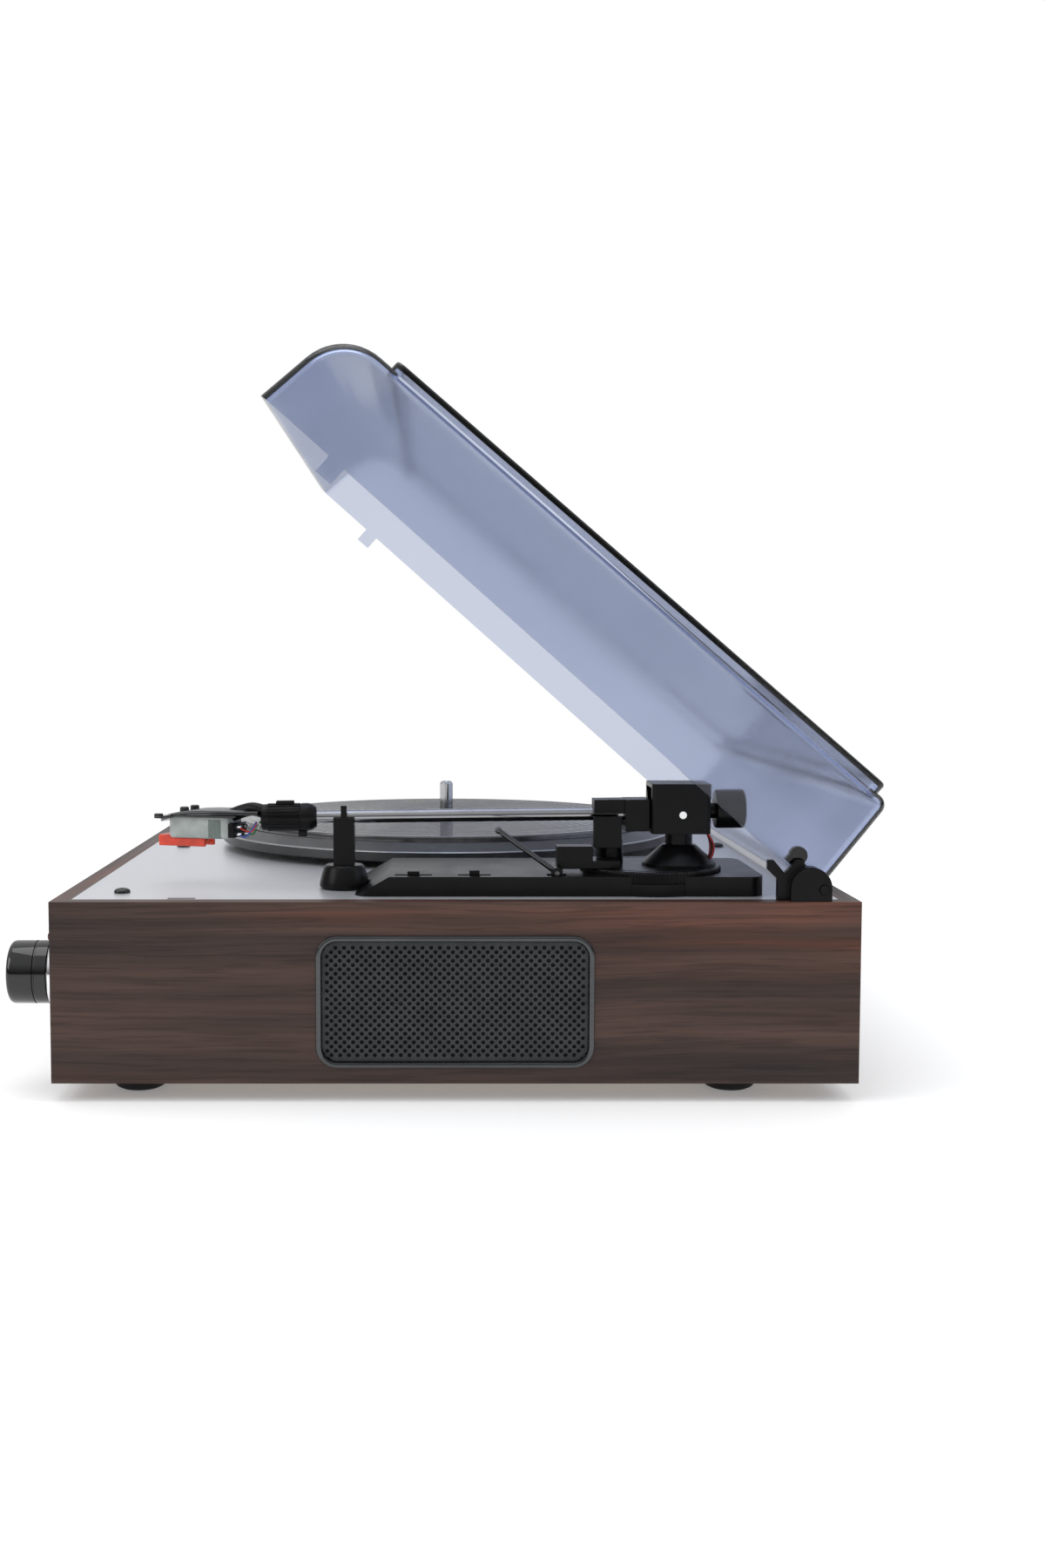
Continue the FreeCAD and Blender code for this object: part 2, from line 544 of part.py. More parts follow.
def make_drive():
    """The motor hung on three rubber grommets, its shaft and pulley, and the flat belt."""
    at = ("platter_x + motor_dx", "platter_y + motor_dy")
    under = "plinth_top - deck_thick"
    can = rod("motor_can", "Z", at, "motor_radius", f"{under} - 32", f"{under} - 8")
    flange = rod("motor_flange", "Z", at, "motor_radius + 9", f"{under} - 8", f"{under} - 6")
    boss = rod("motor_boss", "Z", at, "5", f"{under} - 6", f"{under} - 2")
    bore = rod("motor_bore", "Z", at, "1 + running_gap", f"{under} - 24", f"{under} + 2")
    grommets = []
    screws = []
    for index, angle in enumerate((90, 210, 330)):
        spot = (f"platter_x + motor_dx + {23.5 * math.cos(math.radians(angle)):.2f}",
                f"platter_y + motor_dy + {23.5 * math.sin(math.radians(angle)):.2f}")
        grommets.append(tube(f"grommet_{index}", "Z", spot, "4.5", "1.5", f"{under} - 6", under))
        head = rod(f"motor_head_{index}", "Z", spot, "3", f"{under} - 10", f"{under} - 8")
        shank = rod(f"motor_shank_{index}", "Z", spot, "1.5", f"{under} - 8", f"{under} + 3")
        screws.append(join(f"motor_screw_{index}", head, shank))
    node("drive_motor", cut("drive_motor", join("motor_whole", can, flange, boss), bore, *screws))
    node("motor_grommets", *grommets)
    shaft = rod("motor_shaft", "Z", at, "1", f"{under} - 20", "plinth_top + 9")
    node("motor_shaft", shaft)
    low = "plinth_top + 4.2"
    pulley = turned("motor_pulley", *at, [
        ("1", f"{low}"), ("pulley_radius + 1.4", low), ("pulley_radius + 1.4", f"{low} + 0.6"),
        ("pulley_radius", f"{low} + 0.8"), ("pulley_radius", f"{low} + 4.3"),
        ("pulley_radius + 1.4", f"{low} + 4.5"), ("pulley_radius + 1.4", f"{low} + 4.9"),
        ("1", f"{low} + 4.9")])
    node("motor_pulley", pulley)
    node("drive_belt", make_belt(value(f"{low} + 1"), 3.1))
    return screws


def loop_solid(large, small, reach, low, tall):
    """A solid whose outline is two circles, reach apart along X, joined by their outer tangents."""
    lean = math.acos((large - small) / reach)
    corners = []
    for centre, radius, sign in ((0, large, 1), (reach, small, 1), (reach, small, -1), (0, large, -1)):
        corners.append(Vector(centre + radius * math.cos(lean), sign * radius * math.sin(lean), low))
    web = Part.Face(Part.makePolygon(corners + corners[:1])).extrude(Vector(0, 0, tall))
    first = Part.makeCylinder(large, tall, Vector(0, 0, low))
    second = Part.makeCylinder(small, tall, Vector(reach, 0, low))
    return first.fuse([second, web]).removeSplitter()


def make_belt(low, tall):
    """A flat rubber loop round the drive rim and the pulley."""
    inner = (size("drive_rim") + size("belt_gap"), size("pulley_radius") + size("belt_gap"))
    outer = [radius + size("belt_thick") for radius in inner]
    reach = math.hypot(size("motor_dx"), size("motor_dy"))
    loop = loop_solid(*outer, reach, low, tall).cut(loop_solid(*inner, reach, low, tall))
    belt = doc.addObject("Part::Feature", "belt")
    belt.Shape = loop
    heading = math.degrees(math.atan2(size("motor_dy"), size("motor_dx")))
    belt.Placement = Placement(Vector(size("platter_x"), size("platter_y"), 0),
                               Rotation(Vector(0, 0, 1), heading))
    return belt


# ---------------------------------------------------------------- arm panel and its fittings

def switch_slot(name, y, half_travel):
    """Room in the panel's top for a switch lever and its travel."""
    return block(name, ("switch_x - 2", "switch_x + 2"),
                 (f"{y} - 4 - {half_travel}", f"{y} + 4 + {half_travel}"),
                 ("plinth_top + 3", "plinth_top + panel_tall + 1"))


def make_arm_panel():
    """The raised black moulding that carries the arm, with a sloping front end."""
    skin = "panel_skin"
    top = "plinth_top + panel_tall"
    wedge = padded("panel_wedge", "YZ_Plane", [
        ("panel_front", "plinth_top"), ("panel_step", top), ("panel_back", top),
        ("panel_back", "plinth_top")], "panel_left", "panel_right")
    plan = rounded_block("panel_plan", "Z", 7, ("panel_left", "panel_right"),
                         ("panel_front", "panel_back"), ("plinth_top", f"{top} + 1"))
    hollow = padded("panel_hollow", "YZ_Plane", [
        (f"panel_front + 2 * {skin}", "plinth_top - 1"), (f"panel_step + {skin} / 2", f"{top} - {skin}"),
        (f"panel_back - {skin}", f"{top} - {skin}"), (f"panel_back - {skin}", "plinth_top - 1")],
        f"panel_left + {skin}", f"panel_right - {skin}")
    drum = rod("panel_drum_hole", "Z", ("drum_x", "drum_y"), "drum_radius + 0.2", "plinth_top - 1",
               f"{top} + 1")
    notch = rod("panel_rest_notch", "Z", ("arm_x", "rest_y"), "12.2", "plinth_top - 1", f"{top} + 1")
    slots = [switch_slot("speed_slot", "speed_y", 4), switch_slot("stop_slot", "stop_y", 3)]
    lever_seat = block("lever_seat_hole", ("lever_x - 3.6", "lever_x + 3.6"),
                       ("lever_y - 4.2", "lever_y + 4.2"), (f"{top} - {skin} - 1", f"{top} + 1"))
    shell = overlap("panel_shell", wedge, plan)
    node("arm_panel", cut("arm_panel", shell, hollow, drum, notch, lever_seat, *slots))
    cases = [block(f"{name}_case", ("switch_x - 4", "switch_x + 4"), (f"{y} - 9", f"{y} + 9"),
                   ("plinth_top", "plinth_top + 3"))
             for name, y in (("speed", "speed_y"), ("stop", "stop_y"))]
    node("switch_cases", *cases)
    for label, y, half_y, tall in (("speed_lever", "speed_y", 2.6, 1.7),
                                   ("auto_stop_lever", "stop_y", 2.2, 2.1)):
        plate = block(f"{label}_plate", ("switch_x - 3.2", "switch_x + 3.2"), (f"{y} - 5.5", f"{y} + 5.5"),
                      ("plinth_top + 3.3", "plinth_top + 5.5"))
        nub = block(f"{label}_nub", ("switch_x - 1.6", "switch_x + 1.6"),
                    (f"{y} - {half_y}", f"{y} + {half_y}"), ("plinth_top + 5", f"{top} + {tall}"))
        node(label, join(label, plate, nub))


def make_arm_base():
    """The round base, the cone that stands on it, and the rest."""
    top = "plinth_top + drum_tall"
    bore = rod("arm_bore", "Z", ("arm_x", "arm_y"), "arm_shaft + running_gap", "plinth_top - 30",
               "plinth_top + 40")
    piston_bore = rod("piston_bore", "Z", ("arm_x", "arm_y - cue_reach"), "2.6 + running_gap",
                      "plinth_top - 30", "plinth_top + 40")
    drum = rod("drum_outside", "Z", ("drum_x", "drum_y"), "drum_radius", "plinth_top", top)
    hollow = rod("drum_hollow", "Z", ("drum_x", "drum_y"), "drum_radius - 3", "plinth_top - 1", f"{top} - 3")
    node("arm_base", cut("arm_base", drum, hollow, bore, piston_bore))
    cone = turned("pedestal_cone", "arm_x", "arm_y", [
        ("arm_shaft + running_gap", top), ("16.3", top), ("16.3", f"{top} + 1.2"), ("7.5", f"{top} + 9"),
        ("6", f"{top} + 9.4"), ("6", "plinth_top + 24.7"), ("arm_shaft + running_gap", "plinth_top + 24.7")])
    sleeve = tube("pedestal_sleeve", "Z", ("arm_x", "arm_y"), "6.5", "arm_shaft + running_gap",
                  "plinth_top - 16", f"{top} - 3")
    node("arm_pedestal", cone)
    node("pivot_bearing", sleeve)
    low = "plinth_top"
    foot = turned("rest_foot", "arm_x", "rest_y", [
        ("0", low), ("10", low), ("11", f"{low} + 1"), ("11", f"{low} + 2.4"), ("10.3", f"{low} + 5.5"),
        ("9", f"{low} + 9.6"), ("8", f"{low} + 10.6"), ("0", f"{low} + 10.6")])
    post = block("rest_post", ("arm_x - 4", "arm_x + 5.4"), ("rest_y - 4.6", "rest_y + 4.6"),
                 (f"{low} + 10", f"{low} + 28.2"))
    fence = block("rest_fence", ("arm_x + 3.4", "arm_x + 5.4"), ("rest_y - 4.6", "rest_y + 4.6"),
                  (f"{low} + 28", f"{low} + 31.6"))
    prong = block("rest_prong", ("arm_x + 3.6", "arm_x + 5.2"), ("rest_y - 1.3", "rest_y + 1.3"),
                  (f"{low} + 31", f"{low} + 37"))
    node("arm_rest", join("arm_rest", foot, post, fence, prong))


def ring_sector(name, centre, reach, half_width, low, high, start, sweep):
    """Part of a flat ring about a vertical axis, from a start angle over a sweep, in degrees."""
    pieces = []
    for tag, radius in (("outer", f"{reach} + {half_width}"), ("inner", f"{reach} - {half_width}")):
        piece = rod(f"{name}_{tag}", "Z", centre, radius, low, high)
        piece.Angle = sweep
        spot = piece.Placement.Base
        piece.Placement = Placement(spot, Rotation(Vector(0, 0, 1), start))
        pieces.append(piece)
    return cut(name, *pieces)


def make_cueing():
    """The cue column, the curved bar that lifts the arm, and the lever that works it."""
    top = "plinth_top + drum_tall"
    at = ("arm_x", "arm_y - cue_reach")
    bore = rod("column_bore", "Z", at, "2.6 + running_gap", "plinth_top", "plinth_top + 40")
    column = rod("cue_column", "Z", at, "6", top, "plinth_top + 21.8")
    web = block("cue_web", ("arm_x", "lever_x - 4"), ("arm_y - cue_reach - 12", "arm_y - cue_reach + 3"),
                (top, f"{top} + 3.5"))
    box = block("cue_box", ("lever_x - 14", "lever_x - 4"), ("lever_y + 0.5", "lever_y + 16"),
                (top, "plinth_top + 20.3"))
    node("cue_housing", cut("cue_housing", join("cue_whole", column, web, box), bore))
    bar = ring_sector("cue_bar", ("arm_x", "arm_y"), "cue_reach", "3.4", "plinth_top + cue_top - 2.6",
                      "plinth_top + cue_top", 206, 76)
    piston = rod("cue_piston", "Z", at, "2.6", "plinth_top + 2", "plinth_top + cue_top - 1")
    fence = block("cue_fence", ("arm_x + 6.6", "arm_x + 11.6"),
                  ("arm_y - cue_reach - 8", "arm_y - cue_reach + 4.2"),
                  ("plinth_top + 19", "plinth_top + 32.6"))
    node("cue_platform", join("cue_platform", bar, piston, fence))
    height = "plinth_top + lever_height"
    hub = rod("lever_hub", "X", ("lever_y", height), "2.4", "lever_x - 1.4", "lever_x + 1.4")
    axle = rod("lever_axle", "X", ("lever_y", height), "1", "lever_x - 3.4", "lever_x + 3.4")
    handle = doc.addObject("Part::Cylinder", "lever_handle")
    handle.setExpression("Height", bound("lever_long"))
    handle.Radius = 1.15
    rise = math.radians(size("lever_rise"))
    start = Vector(value("lever_x"), value("lever_y"), value(height))
    pointing = Vector(0, -math.cos(rise), math.sin(rise))
    handle.Placement = Placement(start, Rotation(Vector(0, 0, 1), pointing))
    knob = doc.addObject("Part::Sphere", "lever_tip")
    knob.Radius = 1.5
    knob.Placement = Placement(start + pointing * size("lever_long"), Rotation())
    node("cue_lever", join("cue_lever", hub, axle, handle, knob))
    under = "plinth_top + panel_tall - panel_skin"
    base = block("lever_mount_base", ("lever_x - 6", "lever_x + 4.3"), ("lever_y - 6", "lever_y + 6"),
                 (f"{under} - 1.5", under))
    ears = [block(f"lever_ear_{word}", x, ("lever_y - 2.4", "lever_y + 2.4"),
                  (f"{under} - 1", f"{height} + 2"))
            for word, x in (("left", ("lever_x - 3.4", "lever_x - 1.6")),
                            ("right", ("lever_x + 1.6", "lever_x + 3.4")))]
    axle_bore = rod("axle_bore", "X", ("lever_y", height), "1 + running_gap", "lever_x - 8", "lever_x + 8")
    node("lever_mount", cut("lever_mount", join("mount_whole", base, *ears), axle_bore))


# ---------------------------------------------------------------- arm

def arm_frame():
    """The arm's own frame: its origin on the lift axis, -Y towards the head, drooping a little."""
    spot = Vector(size("arm_x"), size("arm_y"), size("plinth_top") + size("arm_height"))
    return Placement(spot, Rotation(Vector(1, 0, 0), size("arm_droop")))


def make_arm_yoke():
    """The bearing housing that turns on the pedestal, with its vertical shaft and its two pivot pins."""
    spot = Placement(arm_frame().Base, Rotation())
    housing = rounded_block("yoke_housing", "Z", 2, (-12, 12), (-13.4, 12.4), (-8.4, 13.5))
    channel = block("yoke_channel", (-9, 9), (-20, 20), (-6.4, 11.5))
    shaft = rod("yoke_shaft", "Z", (0, 0), "arm_shaft", "-arm_height - 14", -8)
    pins = [rod(f"pivot_pin_{index}", "X", (0, 0), 1.6, low, high)
            for index, (low, high) in enumerate(((-12.6, -5), (5, 12.6)))]
    body = cut("arm_yoke", join("yoke_whole", housing, shaft), channel, *pins)
    node("arm_yoke", body, placement=spot)
    node("pivot_pins", *pins, placement=spot)


def make_arm():
    """The arm itself: holder, tube, counterweight, and the head with its cartridge."""
    frame = arm_frame()
    tube_hole = rod("holder_tube_hole", "Y", (0, 0), "tube_radius", "tube_front", -16)
    pin_holes = rod("holder_pin_hole", "X", (0, 0), "1.6 + running_gap", -12, 12)
    inner = block("holder_inner", (-7.6, 7.6), (-14, 8), (-4, 5))
    front = block("holder_front", (-7.6, 7.6), (-24.5, -14), (-7.4, 6.6))
    bar = block("holder_bar", (-6, 6), (-38, -24), (0.5, 6.6))
    stub = rod("holder_stub", "Y", (0, 0.8), 3.4, 7, 27)
    centre = block("holder_core", (-4.6, 4.6), (-14, 8), (-4, 5))
    bored = cut("holder_bored", join("holder_whole", inner, front, bar, stub), tube_hole, pin_holes)
    node("arm_holder", join("arm_holder", bored, centre), placement=frame)
    node("arm_tube", rod("arm_tube", "Y", (0, 0), "tube_radius", "tube_front", -16), placement=frame)
    weight = softened("weight_rounded", rod("weight", "Y", (0, 1.6), 8.6, 15.6, 28.4), 1,
                      lambda edge: isinstance(edge.Curve, Part.Circle))
    stub_hole = rod("weight_hole", "Y", (0, 0.8), 3.4, 7, 27)
    node("counterweight", cut("counterweight", weight, stub_hole), placement=frame)
    make_head(frame)


def make_head(frame):
    """The collar, the angled headshell, the cartridge with its pins, the stylus and its guard."""
    turn = Placement(Vector(0, size("shell_start"), 0), Rotation(Vector(0, 0, 1), -size("shell_turn")))
    collar = rod("collar_round", "Y", (0, 0), 6.2, -184.5, "tube_front")
    node("head_collar", collar, placement=frame)
    head = frame.multiply(turn)
    deck = padded("shell_deck", "XY_Plane", [
        (-6.2, 0.5), (6.2, 0.5), (9.2, -10), (9.2, "-shell_long + 4"), (6.5, "-shell_long"),
        (-6.5, "-shell_long"), (-9.2, "-shell_long + 4"), (-9.2, -10)], -3, 3)
    hollow = block("shell_hollow", (-7.6, 7.6), ("-shell_long + 1.6", -11), (-4, 1.4))
    lift = block("shell_finger", (8, 19), ("-shell_long + 5", "-shell_long + 8.4"), (1.2, 2.2))
    shell = frame_copy("shell_turned", join("shell_whole", cut("shell_open", deck, hollow), lift), turn)
    node("headshell", cut("headshell", shell, collar), placement=frame)
    body = block("cartridge_body", (-6.8, 6.8), ("-shell_long + 5", -14), (-9.6, 1.4))
    pins = [rod(f"cartridge_pin_{index}", "Y", (x, z), 0.6, -14, -9.5)
            for index, (x, z) in enumerate(((-3.5, -4.2), (3.5, -4.2), (-3.5, -7.4), (3.5, -7.4)))]
    node("cartridge", join("cartridge", body, *pins), placement=head)
    guard = block("guard_block", (-5, 5), ("-shell_long - 1.5", "-shell_long + 22"), (-13.4, -8.4))
    seat = block("guard_hollow", (-3.2, 3.2), ("-shell_long + 2.5", "-shell_long + 23"), (-14, -9.6))
    relief = block("guard_relief", (-6, 6), ("-shell_long + 4.9", "-shell_long + 30"), (-9.6, -7))
    node("stylus_guard", cut("stylus_guard", guard, seat, relief), placement=head)
    lever = block("stylus_lever", (-0.6, 0.6), ("-shell_long + 7", "-shell_long + 21"), (-11.2, -9.6))
    tip = taper("stylus_tip", "Z", (0, "-shell_long + 8"), 0.1, 0.5, -13, -11)
    node("stylus", join("stylus", lever, tip), placement=head)


# ---------------------------------------------------------------- dust cover and its hinges

def lid_frame():
    """The cover's own frame: its origin on the hinge axis, turned up by the opening angle."""
    spot = Vector(0, size("pivot_y"), size("plinth_top") + size("pivot_height"))
    return Placement(spot, Rotation(Vector(1, 0, 0), -size("lid_open")))


def lid_shape(name, inset, wide):
    """The cover's solid shape without its hollow, or its hollow when inset is the wall thickness."""
    front = f"lid_behind - lid_long + {inset}"
    back = f"lid_behind - {inset}"
    low = "-lid_below" if inset == 0 else "-lid_below - 5"
    body = padded(f"{name}_wedge", "YZ_Plane", [
        (front, low), (f"{front} + 6.8", f"44.6 - lid_below - {inset}"),
        (f"{back} - 2.6", f"48.7 - lid_below - {inset}"), (back, low)], f"-{wide} / 2", f"{wide} / 2")
    half = value(f"{wide} / 2")
    ridge = value(f"{front} + 6.8")
    top_edges = along("X")

    def on_ridge(edge):
        return top_edges(edge) and edge.BoundBox.ZMin > 30 and abs(edge.BoundBox.YMin - ridge) < 1
    bow = softened(f"{name}_bow", body, size("lid_front_radius") - inset, on_ridge)
    rear = softened(f"{name}_rear", bow, size("lid_edge_radius") - inset,
                    lambda edge: top_edges(edge) and edge.BoundBox.ZMin > 40 and edge.BoundBox.YMin > -10)
    floor = value(low)

    def on_side(edge):
        box = edge.BoundBox
        flat = abs(abs(box.XMin) - half) < 1e-3 and abs(box.XMax - box.XMin) < 1e-3
        return flat and box.ZMax > floor + 0.5
    return softened(name, rear, size("lid_edge_radius") - inset, on_side)


def lid_panel(name, inset):
    """The raised field on top of the cover, or its hollow."""
    front = value("lid_behind - lid_long + 33") + inset
    back = value("lid_behind - 8.5") - inset
    half = size("lid_wide") / 2 - 2.2 - inset
    low = 30
    high = [value("48.9 - lid_below") - inset, value("53.4 - lid_below") - inset]
    slab = padded(f"{name}_slab", "YZ_Plane", [
        (front, low), (front, high[0]), (back, high[1]), (back, low)], -half, half)
    upright = along("Z")
    corners = softened(f"{name}_corners", slab, 5 - inset / 2, upright)
    if inset:
        return corners
    return softened(name, corners, 1.2, lambda edge: edge.BoundBox.ZMin > high[0] - 0.5)


def make_lid():
    """The one-piece smoked cover with its two locating tabs."""
    frame = lid_frame()
    outside = join("lid_outside", lid_shape("lid_form", 0, "lid_wide"), lid_panel("lid_field", 0))
    wall = size("lid_wall")
    hollow = lid_shape("lid_hollow", wall, "(lid_wide - 2 * lid_wall)")
    field = lid_panel("lid_field_hollow", wall)
    keep = block("field_limit", (-250, 250), (-330, 10), (36, 60))
    doc.recompute()
    tabs = []
    eyes = []
    for side, sign in SIDES:
        tabs.append(block(f"lid_tab_{side}", mirrored(sign, "lid_wide / 2 - lid_wall", "lid_wide / 2"),
                          ("lid_behind - lid_long + 38", "lid_behind - lid_long + 46.5"),
                          ("-lid_below - 8.5", "-lid_below + 1")))
        eyes.append(rod(f"lid_notch_{side}", "X", (0, 0), "4.8", *mirrored(sign, 190, 202)))
    shell = cut("lid_shell", outside, hollow, overlap("field_hollow_top", field, keep), *eyes)
    node("dust_cover", join("dust_cover", shell, *tabs), placement=frame)
    leaves = []
    pins = []
    inner = "lid_wide / 2 - lid_wall"
    for side, sign in SIDES:
        x = mirrored(sign, f"{inner} - 3.5", inner)
        plate = block(f"leaf_plate_{side}", x, (-18.6, 0), (-1, 3.1))
        pad = rod(f"leaf_pad_{side}", "X", (-15.4, 4), "3.8", *x)
        eye = rod(f"leaf_eye_{side}", "X", (0, 0), "4.2", *x)
        hole = rod(f"leaf_hole_{side}", "X", (0, 0), "pin_radius",
                   *mirrored(sign, f"{inner} - 9", f"{inner} + 9"))
        leaves.append(cut(f"leaf_{side}", join(f"leaf_whole_{side}", plate, pad, eye), hole))
        pins.append(rod(f"hinge_pin_{side}", "X", (0, 0), "pin_radius",
                        *mirrored(sign, f"{inner} - 4.5", "209.8")))
        pins.append(rod(f"leaf_screw_{side}", "X", (-15.4, 4), 2.6,
                        *mirrored(sign, f"{inner} - 5", f"{inner} - 3.5")))
    node("hinge_leaves", *leaves, placement=frame)
    node("hinge_pins", *pins, placement=frame)


def make_hinge_bases():
    """The domed blocks on the plinth's rim that hold the pins, each with a forked stop beside it."""
    low = "plinth_top"
    bases = []
    for side, sign in SIDES:
        x = mirrored(sign, "201.2", "209.2")
        foot = block(f"base_foot_{side}", x, (140.5, 157.8), (low, f"{low} + 5.6"))
        dome = rod(f"base_dome_{side}", "X", ("149.15", f"{low} + 5.6"), 8.65, *x)
        above = block(f"base_above_{side}", mirrored(sign, 200, 211), (130, 170), (low, f"{low} + 20"))
        bore = rod(f"base_bore_{side}", "X", ("pivot_y", f"{low} + pivot_height"), "pin_radius + running_gap",
                   *mirrored(sign, 196, "209.9"))
        block_half = overlap(f"base_half_{side}", join(f"base_whole_{side}", foot, dome), above)
        fork = padded(f"base_fork_{side}", "YZ_Plane", [
            (141.5, low), (135.6, low), (135.6, f"{low} + 9"), (131.5, f"{low} + 13"), (131.5, f"{low} + 17"),
            (134, f"{low} + 17"), (138.6, f"{low} + 11.5"), (143.6, f"{low} + 17"), (147, f"{low} + 17"),
            (147, f"{low} + 13.5"), (141.5, f"{low} + 8.5")], *mirrored(sign, "201.2", "204.8"))
        bases.append(cut(f"hinge_base_{side}", join(f"base_all_{side}", block_half, fork), bore))
    node("hinge_bases", *bases)


# ---------------------------------------------------------------- build, test, write

def build():
    base_screws = make_feet_and_screws()
    deck_screws = make_deck_screws()
    lid_slots = make_lid_slots()
    motor_screws = make_drive()
    socket_screws = make_rear_sockets()
    node("machine_screws", *motor_screws, *socket_screws)
    make_walls(lid_slots, socket_screws)
    make_cleats(deck_screws, base_screws)
    make_floor_panel(base_screws)
    make_deck(deck_screws, lid_slots, motor_screws)
    make_speakers()
    make_front_controls()
    make_amplifier()
    make_platter()
    make_arm_panel()
    make_arm_base()
    make_cueing()
    make_arm_yoke()
    make_arm()
    make_lid()
    make_hinge_bases()


def check_and_write():
    """Stop if any object failed; otherwise write every sub-part."""
    doc.recompute()
    failed = [item.Name for item in doc.Objects if {"Invalid", "Error"} & set(item.State)]
    if failed:
        raise SystemExit(f"failed objects: {failed}")
    os.makedirs("parts", exist_ok=True)
    for item in NODES:
        if item.Shape.isNull() or not item.Shape.isValid():
            raise SystemExit(f"{item.Label} has a bad shape")
        shape = item.Shape.translated(Vector(0, size("set_back"), 0))
        shape.exportStep(f"parts/{item.Label}.step")
        box = shape.BoundBox
        print(f"{item.Label:18s} solids {len(shape.Solids):2d}  volume {shape.Volume:10.0f}  "
              f"x {box.XMin:7.1f} {box.XMax:7.1f}  y {box.YMin:7.1f} {box.YMax:7.1f}  "
              f"z {box.ZMin:7.1f} {box.ZMax:7.1f}")
    print(len(NODES), "nodes")


build()
check_and_write()
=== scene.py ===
"""Looks of a wooden record player with a smoked dust cover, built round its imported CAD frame."""

import json
import math

import bmesh
import bpy
from mathutils import Matrix, Vector

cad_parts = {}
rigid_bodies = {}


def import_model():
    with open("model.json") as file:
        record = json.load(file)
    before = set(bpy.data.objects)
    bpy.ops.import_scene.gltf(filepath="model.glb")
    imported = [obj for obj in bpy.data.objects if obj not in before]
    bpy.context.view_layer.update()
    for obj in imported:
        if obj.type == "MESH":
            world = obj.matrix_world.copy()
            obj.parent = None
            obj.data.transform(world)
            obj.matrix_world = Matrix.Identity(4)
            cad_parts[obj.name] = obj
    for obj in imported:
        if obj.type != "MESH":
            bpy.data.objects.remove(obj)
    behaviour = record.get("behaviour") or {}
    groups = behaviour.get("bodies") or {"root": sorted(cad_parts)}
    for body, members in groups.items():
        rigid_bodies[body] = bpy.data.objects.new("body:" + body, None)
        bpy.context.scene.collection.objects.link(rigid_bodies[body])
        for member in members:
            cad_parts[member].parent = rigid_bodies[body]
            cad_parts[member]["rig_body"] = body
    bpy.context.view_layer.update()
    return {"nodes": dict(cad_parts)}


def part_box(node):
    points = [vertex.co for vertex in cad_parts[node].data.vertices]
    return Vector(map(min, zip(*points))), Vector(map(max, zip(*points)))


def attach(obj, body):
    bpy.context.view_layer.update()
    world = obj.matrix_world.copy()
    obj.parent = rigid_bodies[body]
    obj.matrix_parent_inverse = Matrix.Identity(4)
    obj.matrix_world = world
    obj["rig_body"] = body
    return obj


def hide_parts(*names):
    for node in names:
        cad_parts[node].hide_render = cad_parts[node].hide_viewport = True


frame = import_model()

# Shapes are in millimetres; places in the scene are in metres.
MM = 0.001
SIDES = (-1, 1)
DECK_TOP = 85
SLOTS = {name: thing.data.materials[0].name for name, thing in frame["nodes"].items()}
BODIES = {name: thing["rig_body"] for name, thing in frame["nodes"].items()}
# CAD nodes that show another finish than their record slot's.
NODE_FINISHES = (("cue_lever", "dark_chrome"), ("hinge_pins", "black_plastic"),
                 ("pivot_pins", "bright_chrome"), ("arm_tube", "tube_chrome"), ("spindle", "spindle_chrome"))
# CAD nodes that only need their hard edges rounded, by how much.
EDGE_WIDTHS = (("arm_panel", 0.8), ("arm_rest", 0.35), ("cue_housing", 0.4), ("lever_mount", 0.25),
               ("hinge_bases", 0.6), ("speed_lever", 0.4), ("auto_stop_lever", 0.3), ("cue_platform", 0.4),
               ("arm_yoke", 0.6), ("arm_holder", 0.4), ("socket_plate", 0.4), ("rubber_feet", 0.4),
               ("stylus_guard", 0.4))
scene = bpy.context.scene


def extent(node):
    """The lowest corner, the highest corner and the middle of a CAD node, in millimetres."""
    low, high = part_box(node)
    low, high = low / MM, high / MM
    return low, high, (low + high) / 2


# The arm's pivot, the way along the arm from there to the head, and the pins on the cartridge's back.
ARM_PIVOT = extent("pivot_pins")[2]
HEAD_REACH = 184
PIN_PLACES = ((-3.5, -4.2), (-3.5, -7.4), (3.5, -4.2), (3.5, -7.4))


# ---------------------------------------------------------------- shader nodes

def put(tree, kind, settings=None, **inputs):
    """Adds a node; each input is a number, a colour or another node's socket."""
    node = tree.nodes.new(kind)
    for key, value in (settings or {}).items():
        setattr(node, key, value)
    for key, value in inputs.items():
        socket = node.inputs[key.replace("_", " ")]
        if isinstance(value, bpy.types.NodeSocket):
            tree.links.new(value, socket)
        else:
            socket.default_value = value
    return node


def between(tree, value, low, high, to_low, to_high):
    """A smooth ramp that takes the value from one range to another."""
    return put(tree, "ShaderNodeMapRange", {"interpolation_type": "SMOOTHSTEP"}, Value=value,
               From_Min=low, From_Max=high, To_Min=to_low, To_Max=to_high).outputs["Result"]


def computed(tree, operation, first, second):
    """The result of a math operation on two sockets."""
    node = put(tree, "ShaderNodeMath", {"operation": operation})
    tree.links.new(first, node.inputs[0])
    tree.links.new(second, node.inputs[1])
    return node.outputs[0]


def blended(tree, factor, first, second):
    """A mix of two shader nodes, given a number or a socket as the second one's share."""
    node = put(tree, "ShaderNodeMixShader", Fac=factor)
    tree.links.new(first.outputs[0], node.inputs[1])
    tree.links.new(second.outputs[0], node.inputs[2])
    return node


# ---------------------------------------------------------------- camera, floor and light

